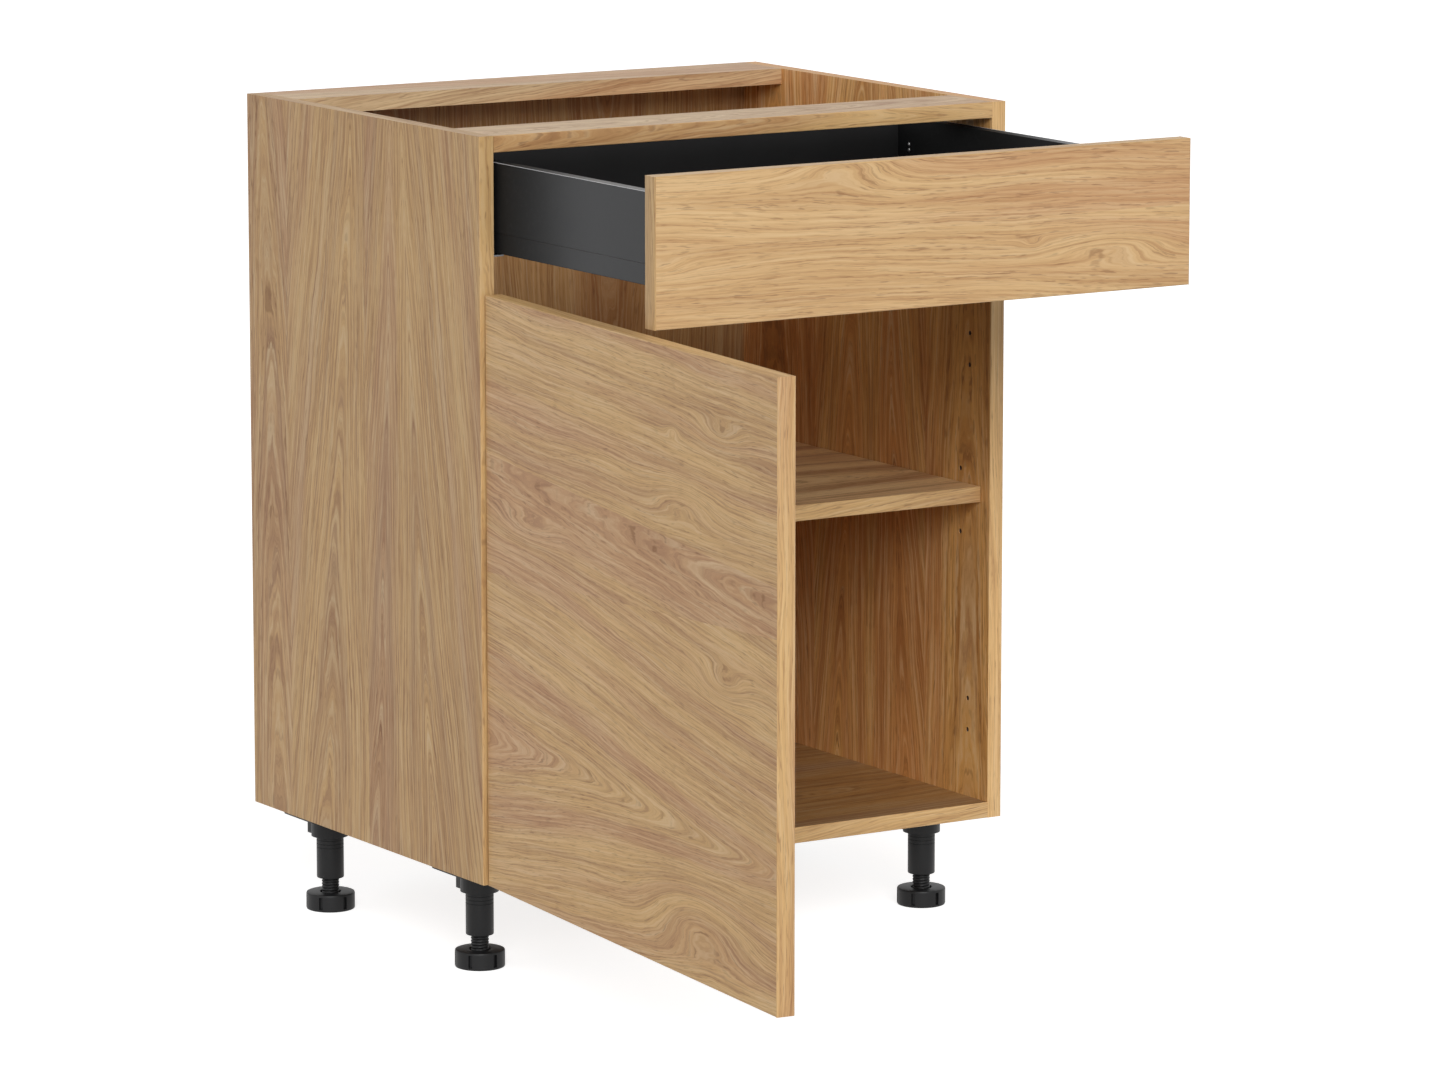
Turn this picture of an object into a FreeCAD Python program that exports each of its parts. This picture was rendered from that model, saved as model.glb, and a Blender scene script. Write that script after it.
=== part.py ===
import FreeCAD, Part
import math
import os
import Sketcher

# Kitchen base cabinet, 600 mm wide, with one drawer over one door, on four screw feet.
# Frame: X to the right, Y to the wall, Z up. The origin is the middle of the top rear edge,
# where the plane of the worktop meets the plane of the wall.
# The pieces stand as in use: the door swung open and the drawer pulled out.

document = FreeCAD.newDocument("base_cabinet")
sheet = document.addObject("Spreadsheet::Sheet", "sizes")
nodes = {}


# Sizes

class Size:
    """A length that knows its number and the sheet expression that gives it."""

    def __init__(self, number, text):
        self.number = float(number)
        self.text = text

    def __float__(self):
        return self.number

    def _with(self, other, sign, number):
        right = other.text if isinstance(other, Size) else repr(other)
        return Size(number, f"({self.text} {sign} {right})")

    def __add__(self, other):
        return self._with(other, "+", self.number + float(other))

    def __radd__(self, other):
        return Size(other, repr(other)) + self

    def __sub__(self, other):
        return self._with(other, "-", self.number - float(other))

    def __rsub__(self, other):
        return Size(other, repr(other)) - self

    def __mul__(self, other):
        return self._with(other, "*", self.number * float(other))

    def __rmul__(self, other):
        return self._with(other, "*", self.number * float(other))

    def __truediv__(self, other):
        return self._with(other, "/", self.number / float(other))

    def __neg__(self):
        return Size(-self.number, f"(0 - {self.text})")


def size(name, value):
    """Write one driving dimension in the next row of the sheet."""
    row = len(driving) + 1
    driving.append(name)
    sheet.set(f"A{row}", name)
    sheet.set(f"B{row}", str(value))
    sheet.setAlias(f"B{row}", name)
    return Size(value, f"sizes.{name}")


driving = []
zero = Size(0, "0")
LEFT = -1
RIGHT = 1
SIDE_NAMES = {LEFT: "left", RIGHT: "right"}
QUARTER_TURN = 90
HALF_TURN = 180
FULL_TURN = 360

# Carcass
cabinet_width = size("cabinet_width", 600)
cabinet_height = size("cabinet_height", 720)
cabinet_depth = size("cabinet_depth", 460)
board = size("board_thickness", 16)
band = size("edge_band_thickness", 1)
back_thickness = size("back_thickness", 3)
back_rebate = size("back_rebate_width", 8)
rail_width = size("rail_width", 75)

# Fittings that join the boards
dowel_radius = size("dowel_radius", 4)
peg_flutes = size("peg_flute_count", 12)
dowel_in_side = size("dowel_depth_in_side", 11)
dowel_in_end = size("dowel_depth_in_end", 22)
bore_spare = size("bore_spare_depth", 1)
bore_clearance = size("bore_clearance", 0.05)
rest_gap = size("rest_gap", 0.1)
cam_radius = size("cam_radius", 7.5)
cam_depth = size("cam_depth", 12)
cam_setback = size("cam_setback", 34)
bolt_shank_radius = size("cam_bolt_shank_radius", 3)
bolt_bore_radius = size("cam_bolt_bore_radius", 4)
bolt_thread_radius = size("cam_bolt_thread_radius", 2.5)
cam_bolt_gap = size("cam_bolt_gap_to_cam", 0.2)
joint_edge_offset = size("joint_edge_offset", 22)
joint_pitch = size("joint_pitch", 32)
bottom_cam_inset = size("bottom_cam_inset", 150)

# Shelf
shelf_rise = size("shelf_rise_above_door_middle", 33.5)
shelf_front_setback = size("shelf_front_setback", 15)
shelf_rear_gap = size("shelf_rear_gap", 5)
shelf_side_gap = size("shelf_side_gap", 1)
pin_radius = size("shelf_pin_radius", 2.5)
pin_in_panel = size("shelf_pin_depth_in_panel", 8)
pin_reach = size("shelf_pin_reach", 9)
pin_edge_distance = size("shelf_pin_edge_distance", 52)
hole_pitch = size("hole_pitch", 32)

# Fronts
front_thickness = size("front_thickness", 18)
front_reveal = size("front_side_reveal", 2)
front_gap = size("front_gap_to_carcass", 3)
front_top_reveal = size("front_top_reveal", 7)
drawer_front_height = size("drawer_front_height", 140)
fronts_gap = size("gap_between_fronts", 3)
bumper_radius = size("bumper_radius", 4)
bumper_gap = size("bumper_gap", 0.3)

# Concealed hinges
hinge_end_distance = size("hinge_distance_from_door_end", 100)
plate_hole_distance = size("hinge_plate_hole_distance", 37)
plate_hole_radius = size("hinge_plate_hole_radius", 2.5)
plate_hole_depth = size("hinge_plate_hole_depth", 12)
cup_radius = size("hinge_cup_radius", 17.5)
cup_edge_distance = size("hinge_cup_edge_distance", 3)
cup_depth = size("hinge_cup_depth", 13)
cup_wall = size("hinge_cup_wall", 1.5)
cup_floor = size("hinge_cup_floor", 0.8)
cup_flange = size("hinge_cup_flange_thickness", 1)
cup_flange_lip = size("hinge_cup_flange_lip", 1)
wing_length = size("hinge_cup_wing_length", 60)
wing_width = size("hinge_cup_wing_width", 13)
wing_offset = size("hinge_cup_wing_offset", 9.5)
cup_screw_pitch = size("hinge_cup_screw_pitch", 48)
arm_pivot_across = size("hinge_arm_pivot_from_side", 8)
arm_pivot_in = size("hinge_arm_pivot_behind_front", 12)
cup_pivot_across = size("hinge_cup_pivot_from_door_edge", 8.15)
cup_pivot_in = size("hinge_cup_pivot_below_door_face", 7.14)
hinge_pin_radius = size("hinge_pin_radius", 1)
running_gap = size("hinge_running_gap", 0.05)
eye_radius = size("hinge_link_eye_radius", 2.3)
link_thickness = size("hinge_link_thickness", 1.8)
link_width = size("hinge_link_width", 10)
ear_gap = size("hinge_ear_gap", 0.4)
ear_thickness = size("hinge_ear_thickness", 1.2)
arm_rise = size("hinge_arm_rise", 16)
arm_length = size("hinge_arm_length", 54)
ear_margin = size("hinge_ear_margin", 4)
spine_rise = size("hinge_plate_spine_rise", 8)
spine_start = size("hinge_plate_spine_start", 24)
spine_length = size("hinge_plate_spine_length", 34)
plate_thickness = size("hinge_plate_thickness", 2.5)
plate_wing_width = size("hinge_plate_wing_width", 13)
plate_wing_margin = size("hinge_plate_wing_margin", 7)
plate_screw_radius = size("plate_screw_radius", 3)
plate_screw_head_radius = size("plate_screw_head_radius", 4)
plate_screw_head = size("plate_screw_head_height", 1.2)
arm_screw_radius = size("arm_screw_radius", 3)
nose_length = size("hinge_arm_nose_length", 10)
door_opening_angle = size("door_opening_angle", 95)
link_swing_angle = size("hinge_link_swing_angle", 9.2)

# Drawer
side_clearance = size("drawer_side_clearance", 4)
side_thickness = size("drawer_side_thickness", 13)
side_height = size("drawer_side_height", 86)
side_top_drop = size("drawer_side_top_drop", 26)
side_excess = size("drawer_side_excess_over_runner", 2)
sheet_thickness = size("drawer_sheet_thickness", 1)
step_height = size("drawer_side_step_height", 20)
step_depth = size("drawer_side_step_depth", 0.6)
lip_rise = size("drawer_lip_rise", 9.1)
lip_thickness = size("drawer_lip_thickness", 1.2)
drawer_bottom_thickness = size("drawer_bottom_thickness", 16)
drawer_back_thickness = size("drawer_back_thickness", 16)
drawer_pull = size("drawer_pull_at_rest", 291.5)
bracket_length = size("front_bracket_length", 22)
bracket_margin = size("front_bracket_margin", 0.3)
bracket_screw_radius = size("bracket_screw_radius", 1.75)
bracket_screw_length = size("bracket_screw_length", 12)
bracket_screw_head_radius = size("bracket_screw_head_radius", 3)
bracket_screw_head = size("bracket_screw_head_height", 1.2)
back_plate_thickness = size("back_bracket_thickness", 1.5)
back_plate_reach = size("back_bracket_reach", 26)

# Runners
runner_sheet = size("runner_sheet_thickness", 1.5)
runner_wall = size("runner_profile_wall", 1.2)
runner_gap = size("runner_running_gap", 0.6)
runner_drop = size("runner_web_drop", 1.5)
runner_plate_height = size("runner_plate_height", 35)
core_distance = size("runner_core_distance", 10.5)
core_rise = size("runner_core_rise", 7)
runner_setback = size("runner_setback", 3)
runner_rear_gap = size("runner_rear_gap", 7)
middle_shortfall = size("runner_middle_shortfall", 15)
middle_setback = size("runner_middle_setback", 5)
support_reach = size("runner_support_reach", 14)
runner_screw_radius = size("runner_screw_radius", 2.5)
runner_screw_length = size("runner_screw_length", 10)
runner_screw_head_radius = size("runner_screw_head_radius", 3.6)
runner_screw_head = size("runner_screw_head_height", 1.6)
runner_screw_rise = size("runner_screw_rise", 22)
runner_screw_first = size("runner_screw_first", 37)
runner_screw_last = size("runner_screw_last", 32)

# Legs
leg_height = size("leg_height", 100)
leg_side_inset = size("leg_inset_from_side", 42)
leg_front_inset = size("leg_inset_from_front", 80)
leg_rear_inset = size("leg_inset_from_rear", 80)
socket_width = size("leg_socket_width", 72)
socket_length = size("leg_socket_length", 74)
socket_corner = size("leg_socket_corner_radius", 10)
socket_plate = size("leg_socket_plate_thickness", 4)
stub_radius = size("leg_socket_stub_radius", 10.5)
stub_length = size("leg_socket_stub_length", 8)
stub_fit = size("leg_socket_stub_clearance", 0.1)
collar_radius = size("leg_socket_collar_radius", 18.8)
collar_drop = size("leg_socket_collar_drop", 21)
collar_fit = size("leg_socket_collar_clearance", 0.1)
lug_width = size("leg_socket_lug_width", 24)
lug_reach = size("leg_socket_lug_reach", 25)
tube_radius = size("leg_tube_radius", 13.7)
tube_length = size("leg_tube_length", 64)
tube_chamfer = size("leg_tube_chamfer", 1)
spindle_radius = size("foot_spindle_radius", 8.8)
spindle_clearance = size("foot_spindle_clearance", 0.08)
spindle_top_drop = size("foot_spindle_top_drop", 21)
disc_radius = size("foot_disc_radius", 24.5)
disc_height = size("foot_disc_height", 17.5)
disc_rounding = size("foot_disc_rounding", 1.5)
disc_recess_radius = size("foot_disc_recess_radius", 10.6)
disc_recess_depth = size("foot_disc_recess_depth", 3)
slot_width = size("foot_slot_width", 4)
slot_height = size("foot_slot_height", 12.5)
slot_depth = size("foot_slot_depth", 2.6)
leg_screw_radius = size("leg_screw_radius", 2)
leg_screw_length = size("leg_screw_length", 13)
leg_screw_head_radius = size("leg_screw_head_radius", 3.8)
leg_screw_head = size("leg_screw_head_height", 1.8)
leg_screw_offset = size("leg_screw_offset", 30)
slot_count = size("foot_slot_count", 6)
slot_turn = size("foot_slot_turn", 7.4)

cut_overrun = size("cut_overrun", 1)

# Places worked out from the sizes
inner_half = cabinet_width / 2 - board
front_plane = -cabinet_depth
carcass_bottom = -cabinet_height
floor_plane = carcass_bottom - leg_height
board_front = front_plane + band
board_rear = -back_thickness
front_rear_face = front_plane - front_gap
front_half = cabinet_width / 2 - front_reveal
drawer_front_bottom = -front_top_reveal - drawer_front_height
door_top = drawer_front_bottom - fronts_gap
door_height = door_top - carcass_bottom
drawer_side_top = -side_top_drop
drawer_side_bottom = drawer_side_top - side_height
lip_top = drawer_side_bottom + lip_rise + lip_thickness
runner_length = cabinet_depth - runner_setback - runner_rear_gap
middle_length = runner_length - middle_shortfall
side_length = runner_length + side_excess
drawer_rear = front_rear_face + side_length
shelf_bottom = carcass_bottom + door_height / 2 + shelf_rise
pin_height = shelf_bottom - pin_radius
hinge_heights = (carcass_bottom + hinge_end_distance, door_top - hinge_end_distance)
pin_rows = (front_plane + pin_edge_distance, -pin_edge_distance)
document.recompute()


# Building blocks

def bind(thing, **lengths):
    """Bind properties of an object to the sheet."""
    for name, length in lengths.items():
        thing.setExpression(name, length.text)


def place(thing, corner):
    """Bind the position of an object to the sheet."""
    for axis, length in zip("xyz", corner):
        thing.setExpression(f"Placement.Base.{axis}", length.text)


def block(name, extent, corner):
    """Make a rectangular block from its extents and its lowest corner."""
    box = document.addObject("Part::Box", name)
    bind(box, Length=extent[0], Width=extent[1], Height=extent[2])
    place(box, corner)
    return box


TURNS = {
    "+Z": FreeCAD.Rotation(FreeCAD.Vector(0, 0, 1), 0),
    "-Z": FreeCAD.Rotation(FreeCAD.Vector(1, 0, 0), HALF_TURN),
    "+X": FreeCAD.Rotation(FreeCAD.Vector(0, 1, 0), QUARTER_TURN),
    "-X": FreeCAD.Rotation(FreeCAD.Vector(0, 1, 0), -QUARTER_TURN),
    "+Y": FreeCAD.Rotation(FreeCAD.Vector(1, 0, 0), -QUARTER_TURN),
    "-Y": FreeCAD.Rotation(FreeCAD.Vector(1, 0, 0), QUARTER_TURN),
}


def rod(name, radius, length, start, direction):
    """Make a cylinder that runs from its start along one direction."""
    cylinder = document.addObject("Part::Cylinder", name)
    bind(cylinder, Radius=radius, Height=length)
    cylinder.Placement = FreeCAD.Placement(FreeCAD.Vector(), TURNS[direction])
    place(cylinder, start)
    return cylinder


def peg(name, radius, length, start, direction):
    """Make a fluted peg, an even prism that runs from its start along one direction."""
    prism = document.addObject("Part::Prism", name)
    prism.Polygon = int(peg_flutes.number)
    bind(prism, Circumradius=radius, Height=length)
    prism.Placement = FreeCAD.Placement(FreeCAD.Vector(), TURNS[direction])
    place(prism, start)
    return prism


def bundle(name, pieces):
    """Group separate pieces under one object."""
    group = document.addObject("Part::Compound", name)
    group.Links = pieces
    return group


def fused(name, pieces):
    """Join pieces into one solid."""
    union = document.addObject("Part::MultiFuse", name)
    union.Shapes = pieces
    return union


def carved(name, stock, tools):
    """Cut the tools out of the stock."""
    result = document.addObject("Part::Cut", name)
    result.Base = stock
    result.Tool = bundle(f"{name}_tools", tools) if len(tools) > 1 else tools[0]
    return result


def node(name, thing):
    """Name a finished sub-part."""
    thing.Label = name
    nodes[name] = thing
    return thing


def origin_feature(body, role):
    """Find an origin plane or axis of a body."""
    for feature in body.Origin.OriginFeatures:
        if feature.Role == role:
            return feature
    raise ValueError(role)


def outline(body, name, role, points, offset=None):
    """Draw a closed outline whose corners are bound to the sheet."""
    sketch = body.newObject("Sketcher::SketchObject", name)
    sketch.AttachmentSupport = (origin_feature(body, role), "")
    sketch.MapMode = "FlatFace"
    if offset is not None:
        sketch.setExpression("AttachmentOffset.Base.z", offset.text)
    corners = [FreeCAD.Vector(float(across), float(up), 0) for across, up in points]
    count = len(corners)
    for index in range(count):
        sketch.addGeometry(Part.LineSegment(corners[index], corners[(index + 1) % count]), False)
    for index in range(count):
        sketch.addConstraint(Sketcher.Constraint("Coincident", index, 2, (index + 1) % count, 1))
    for index, (across, up) in enumerate(points):
        for kind, length in (("DistanceX", across), ("DistanceY", up)):
            datum = sketch.addConstraint(Sketcher.Constraint(kind, -1, 1, index, 1, float(length)))
            sketch.setExpression(f"Constraints[{datum}]", length.text)
    return sketch


def new_body(name):
    """Start a body of its own."""
    return document.addObject("PartDesign::Body", name)


def padded(body, sketch, name, length, backwards=False):
    """Give an outline its thickness."""
    pad = body.newObject("PartDesign::Pad", name)
    pad.Profile = sketch
    pad.setExpression("Length", length.text)
    pad.Reversed = backwards
    body.Tip = pad
    return pad


def pocketed(body, sketch, name, length, backwards=False):
    """Cut an outline into the body."""
    pocket = body.newObject("PartDesign::Pocket", name)
    pocket.Profile = sketch
    pocket.setExpression("Length", length.text)
    pocket.Reversed = backwards
    body.Tip = pocket
    return pocket


def turned(body, sketch, name):
    """Turn an outline about its upright axis."""
    revolution = body.newObject("PartDesign::Revolution", name)
    revolution.Profile = sketch
    revolution.ReferenceAxis = (sketch, ["V_Axis"])
    revolution.Angle = FULL_TURN
    body.Tip = revolution
    return revolution


def circles(body, name, role, places, radius, offset=None):
    """Draw equal circles whose centres and radius are bound to the sheet."""
    sketch = body.newObject("Sketcher::SketchObject", name)
    sketch.AttachmentSupport = (origin_feature(body, role), "")
    sketch.MapMode = "FlatFace"
    if offset is not None:
        sketch.setExpression("AttachmentOffset.Base.z", offset.text)
    up = FreeCAD.Vector(0, 0, 1)
    for index, (across, along) in enumerate(places):
        centre = FreeCAD.Vector(float(across), float(along), 0)
        sketch.addGeometry(Part.Circle(centre, up, float(radius)), False)
        for kind, length in (("DistanceX", across), ("DistanceY", along)):
            datum = sketch.addConstraint(Sketcher.Constraint(kind, -1, 1, index, 3, float(length)))
            sketch.setExpression(f"Constraints[{datum}]", length.text)
        datum = sketch.addConstraint(Sketcher.Constraint("Radius", index, float(radius)))
        sketch.setExpression(f"Constraints[{datum}]", radius.text)
    return sketch


def rectangle(low, high):
    """Give the corners of a rectangle from two opposite ones."""
    return [(low[0], low[1]), (high[0], low[1]), (high[0], high[1]), (low[0], high[1])]


def inward(side, distance):
    """Give X at a distance inward from the inner face of one side panel."""
    return side * (inner_half - distance)


def across_span(side, near, far):
    """Give the low X and the width between two distances from a side panel."""
    low = inward(side, near) if side == LEFT else inward(side, far)
    return low, far - near


# Where the horizontal boards meet the sides: each entry is a Y and the height of the board's middle

rail_middle = -board / 2
bottom_middle = carcass_bottom + board / 2
front_rail_joint = front_plane + joint_edge_offset
rear_rail_joint = -joint_edge_offset
cam_places = {
    "bottom_panel": [(front_plane + bottom_cam_inset, bottom_middle),
                     (-bottom_cam_inset, bottom_middle)],
    "top_rail_front": [(front_rail_joint, rail_middle)],
    "top_rail_rear": [(rear_rail_joint, rail_middle)],
}
dowel_places = {
    "bottom_panel": [(front_plane + joint_edge_offset, bottom_middle),
                     (-cabinet_depth / 2, bottom_middle),
                     (-joint_edge_offset, bottom_middle)],
    "top_rail_front": [(front_rail_joint + joint_pitch, rail_middle)],
    "top_rail_rear": [(rear_rail_joint - joint_pitch, rail_middle)],
}


def every_place(table):
    """List all places of a table in one row."""
    return [spot for spots in table.values() for spot in spots]


# Side panels

def side_panel(side):
    """Pad the panel, drill its inner face and cut the rebate for the back."""
    label = f"side_panel_{SIDE_NAMES[side]}"
    body = new_body(label)
    inner_face = board if side == LEFT else zero
    # The screws on the hinge side have cut the holes out to their own width
    plate_bore = plate_screw_radius if side == LEFT else plate_hole_radius
    face = rectangle((board_front, carcass_bottom), (zero, zero))
    padded(body, outline(body, f"{label}_face", "YZ_Plane", face), f"{label}_board", board)
    drillings = [
        ("dowel_bores", every_place(dowel_places), dowel_radius, dowel_in_side + bore_spare),
        ("bolt_bores", every_place(cam_places), bolt_thread_radius, dowel_in_side + bore_spare),
        ("pin_holes", pin_hole_places(), pin_radius, pin_in_panel + bore_spare),
        ("plate_holes", plate_hole_places(), plate_bore, plate_hole_depth),
    ]
    for name, places, radius, depth in drillings:
        drawn = circles(body, f"{label}_{name}_outline", "YZ_Plane", places, radius, inner_face)
        pocketed(body, drawn, f"{label}_{name}", depth, side == RIGHT)
    step = rectangle((-back_thickness, carcass_bottom - cut_overrun), (cut_overrun, cut_overrun))
    drawn = outline(body, f"{label}_rebate_outline", "YZ_Plane", step, inner_face)
    pocketed(body, drawn, f"{label}_rebate", back_rebate, side == RIGHT)
    low = -cabinet_width / 2 if side == LEFT else inner_half
    place(body, (low, zero, zero))
    return node(label, body)


def pin_hole_places():
    """Give three rows of shelf pin holes, one row above and one below the shelf in use."""
    return [(row, pin_height + step * hole_pitch) for row in pin_rows for step in (-1, 0, 1)]


def plate_hole_places():
    """Give the pairs of hinge plate holes."""
    line = front_plane + plate_hole_distance
    return [(line, height + step * hole_pitch / 2) for height in hinge_heights for step in (-1, 1)]


for side in (LEFT, RIGHT):
    side_panel(side)


# Bottom panel and top rails

def flat_board(label, front, rear, underside):
    """Pad a board that lies between the sides, and bore its ends and its underside."""
    body = new_body(label)
    half = inner_half
    face = rectangle((-half, front), (half, rear))
    padded(body, outline(body, f"{label}_face", "XY_Plane", face, underside), f"{label}_board", board)
    cams = [(sign * (half - cam_setback), spot[0])
            for spot in cam_places[label] for sign in (LEFT, RIGHT)]
    drawn = circles(body, f"{label}_cam_outline", "XY_Plane", cams, cam_radius, underside)
    pocketed(body, drawn, f"{label}_cam_bores", cam_depth + bore_spare, True)
    borings = [
        ("dowel_bores", dowel_places[label], dowel_radius, dowel_in_end + bore_spare),
        ("bolt_bores", cam_places[label], bolt_bore_radius, cam_setback),
    ]
    for name, places, radius, depth in borings:
        for side in (LEFT, RIGHT):
            title = f"{label}_{name}_{SIDE_NAMES[side]}"
            drawn = circles(body, f"{title}_outline", "YZ_Plane", places, radius, side * half)
            pocketed(body, drawn, title, depth, side == LEFT)
    return node(label, body)


flat_board("bottom_panel", board_front, board_rear, carcass_bottom)
flat_board("top_rail_front", board_front, front_plane + rail_width, -board)
flat_board("top_rail_rear", -rail_width, board_rear, -board)


# Back panel

back_half = inner_half + back_rebate
node("back_panel", block("back_panel", (back_half * 2, back_thickness, cabinet_height),
                         (-back_half, -back_thickness, carcass_bottom)))


# Edge bands of the carcass

bands = []
for side in (LEFT, RIGHT):
    low = -cabinet_width / 2 if side == LEFT else inner_half
    bands.append(block(f"band_side_{SIDE_NAMES[side]}", (board, band, cabinet_height),
                       (low, front_plane, carcass_bottom)))
for name, height in (("bottom", carcass_bottom), ("rail", -board)):
    bands.append(block(f"band_{name}", (inner_half * 2, band, board), (-inner_half, front_plane, height)))
node("carcass_edge_bands", bundle("carcass_edge_bands", bands))


# Dowels, cams and cam bolts

def dowel_group():
    """Make every dowel, half in a side panel and half in the end of a board."""
    pieces = []
    length = dowel_in_side + dowel_in_end
    for index, (along, height) in enumerate(every_place(dowel_places)):
        for side in (LEFT, RIGHT):
            start = inward(side, -dowel_in_side)
            pieces.append(peg(f"dowel_{index}_{SIDE_NAMES[side]}", dowel_radius - bore_clearance,
                              length, (start, along, height), "+X" if side == LEFT else "-X"))
    return node("carcass_dowels", bundle("carcass_dowels", pieces))


def cam_group():
    """Make the cams, each a disc let into the underside of a board."""
    pieces = []
    for label, spots in cam_places.items():
        for index, (along, height) in enumerate(spots):
            for side in (LEFT, RIGHT):
                start = (inward(side, cam_setback), along, height - board / 2)
                pieces.append(rod(f"cam_{label}_{index}_{SIDE_NAMES[side]}",
                                  cam_radius - bore_clearance, cam_depth, start, "+Z"))
    return node("cam_discs", bundle("cam_discs", pieces))


def bolt_group():
    """Make the bolts that stand in the sides and reach into the cams' bores."""
    pieces = []
    for label, spots in cam_places.items():
        for index, (along, height) in enumerate(spots):
            for side in (LEFT, RIGHT):
                title = f"cam_bolt_{label}_{index}_{SIDE_NAMES[side]}"
                direction = "+X" if side == LEFT else "-X"
                thread = peg(f"{title}_thread", bolt_thread_radius - bore_clearance, dowel_in_side,
                             (inward(side, -dowel_in_side), along, height), direction)
                shank = peg(f"{title}_shank", bolt_shank_radius,
                            cam_setback - cam_radius - cam_bolt_gap,
                            (inward(side, zero), along, height), direction)
                pieces.append(fused(title, [thread, shank]))
    return node("cam_bolts", bundle("cam_bolts", pieces))


dowel_group()
cam_group()
bolt_group()


# Shelf and its pins

shelf_half = inner_half - shelf_side_gap
shelf_front = front_plane + shelf_front_setback
shelf_rear = -back_thickness - shelf_rear_gap
node("shelf", block("shelf", (shelf_half * 2, shelf_rear - shelf_front - band, board),
                    (-shelf_half, shelf_front + band, shelf_bottom)))
node("shelf_edge_band", block("shelf_edge_band", (shelf_half * 2, band, board),
                              (-shelf_half, shelf_front, shelf_bottom)))
pins = []
for side in (LEFT, RIGHT):
    for index, along in enumerate(pin_rows):
        pins.append(rod(f"shelf_pin_{index}_{SIDE_NAMES[side]}", pin_radius - bore_clearance,
                        pin_in_panel + pin_reach,
                        (inward(side, -pin_in_panel), along, pin_height),
                        "+X" if side == LEFT else "-X"))
node("shelf_pins", bundle("shelf_pins", pins))


# Fronts: a board with a band round its four edges

def framed_front(label, height, bottom, tools=None):
    """Make a front and its edge bands, closed against the carcass."""
    low = -front_half
    front_face = front_rear_face - front_thickness
    core = block(f"{label}_core", (front_half * 2 - band * 2, front_thickness, height - band * 2),
                 (low + band, front_face, bottom + band))
    panel = carved(f"{label}_bored", core, tools) if tools else core
    strips = []
    for side in (LEFT, RIGHT):
        start = low if side == LEFT else front_half - band
        strips.append(block(f"{label}_band_{SIDE_NAMES[side]}", (band, front_thickness, height),
                            (start, front_face, bottom)))
    for name, rise in (("bottom", zero), ("top", height - band)):
        strips.append(block(f"{label}_band_{name}", (front_half * 2 - band * 2, front_thickness, band),
                            (low + band, front_face, bottom + rise)))
    return panel, strips


# Door pose: the links swing about the arm pivots and the door about the cup pivots

arm_pivot = FreeCAD.Vector(-float(inner_half) + float(arm_pivot_across),
                           float(front_plane) + float(arm_pivot_in), 0)
cup_pivot = FreeCAD.Vector(-float(front_half) + float(cup_pivot_across),
                           float(front_rear_face) - float(cup_pivot_in), 0)
upright = FreeCAD.Vector(0, 0, 1)
link_turn = FreeCAD.Rotation(upright, link_swing_angle.number)
link_pose = FreeCAD.Placement(FreeCAD.Vector(), link_turn, arm_pivot)
open_cup_pivot = link_pose.multVec(cup_pivot)
door_rotation = FreeCAD.Rotation(upright, -door_opening_angle.number)
door_turn = FreeCAD.Placement(FreeCAD.Vector(), door_rotation, cup_pivot)
door_pose = FreeCAD.Placement(open_cup_pivot - cup_pivot, FreeCAD.Rotation()).multiply(door_turn)


def posed(name, pieces, pose):
    """Group pieces made in the closed position and give the group its pose."""
    group = bundle(name, pieces)
    group.Placement = pose
    return node(name, group)


# Door

cup_centre_x = -front_half + cup_edge_distance + cup_radius
cup_bores = [rod(f"door_cup_bore_{index}", cup_radius, cup_depth + cut_overrun,
                 (cup_centre_x, front_rear_face + cut_overrun, height), "-Y")
             for index, height in enumerate(hinge_heights)]
door_board, door_bands = framed_front("door", door_height, carcass_bottom, cup_bores)
posed("door_panel", [door_board], door_pose)
posed("door_edge_bands", door_bands, door_pose)

bumper_thickness = front_gap - bumper_gap
bumper_x = front_half - bumper_radius * 2
door_bumpers = [rod(f"door_bumper_{index}", bumper_radius, bumper_thickness,
                    (bumper_x, front_rear_face, height), "+Y")
                for index, height in enumerate((carcass_bottom + board / 2, door_top - board))]
posed("door_bumpers", door_bumpers, door_pose)


# Hinge cups: a drawn cup with a flange and two wings that take the screws

def hinge_cup(index, height):
    """Turn the cup and its flange, add the wings and open the cup."""
    face = front_rear_face
    shell = rod(f"cup_shell_{index}", cup_radius - bore_clearance, cup_depth - bore_clearance,
                (cup_centre_x, face, height), "-Y")
    flange = rod(f"cup_flange_{index}", cup_radius + cup_flange_lip, cup_flange,
                 (cup_centre_x, face, height), "+Y")
    wings = block(f"cup_wings_{index}", (wing_width, cup_flange, wing_length),
                  (cup_centre_x + wing_offset - wing_width / 2, face, height - wing_length / 2))
    hollow = rod(f"cup_hollow_{index}", cup_radius - cup_wall,
                 cup_depth + cup_flange + cut_overrun - cup_floor,
                 (cup_centre_x, face + cup_flange + cut_overrun, height), "-Y")
    bores = [rod(f"cup_wing_bore_{index}_{step + 1}", bracket_screw_radius + bore_clearance,
                 cup_flange + cut_overrun * 2,
                 (cup_centre_x + wing_offset, face - cut_overrun,
                  height + step * cup_screw_pitch / 2), "+Y")
             for step in (-1, 1)]
    blank = fused(f"cup_blank_{index}", [shell, flange, wings])
    return carved(f"hinge_cup_{index}", blank, [hollow] + bores)


cups = [hinge_cup(index, height) for index, height in enumerate(hinge_heights)]
posed("hinge_cups", cups, door_pose)

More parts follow.
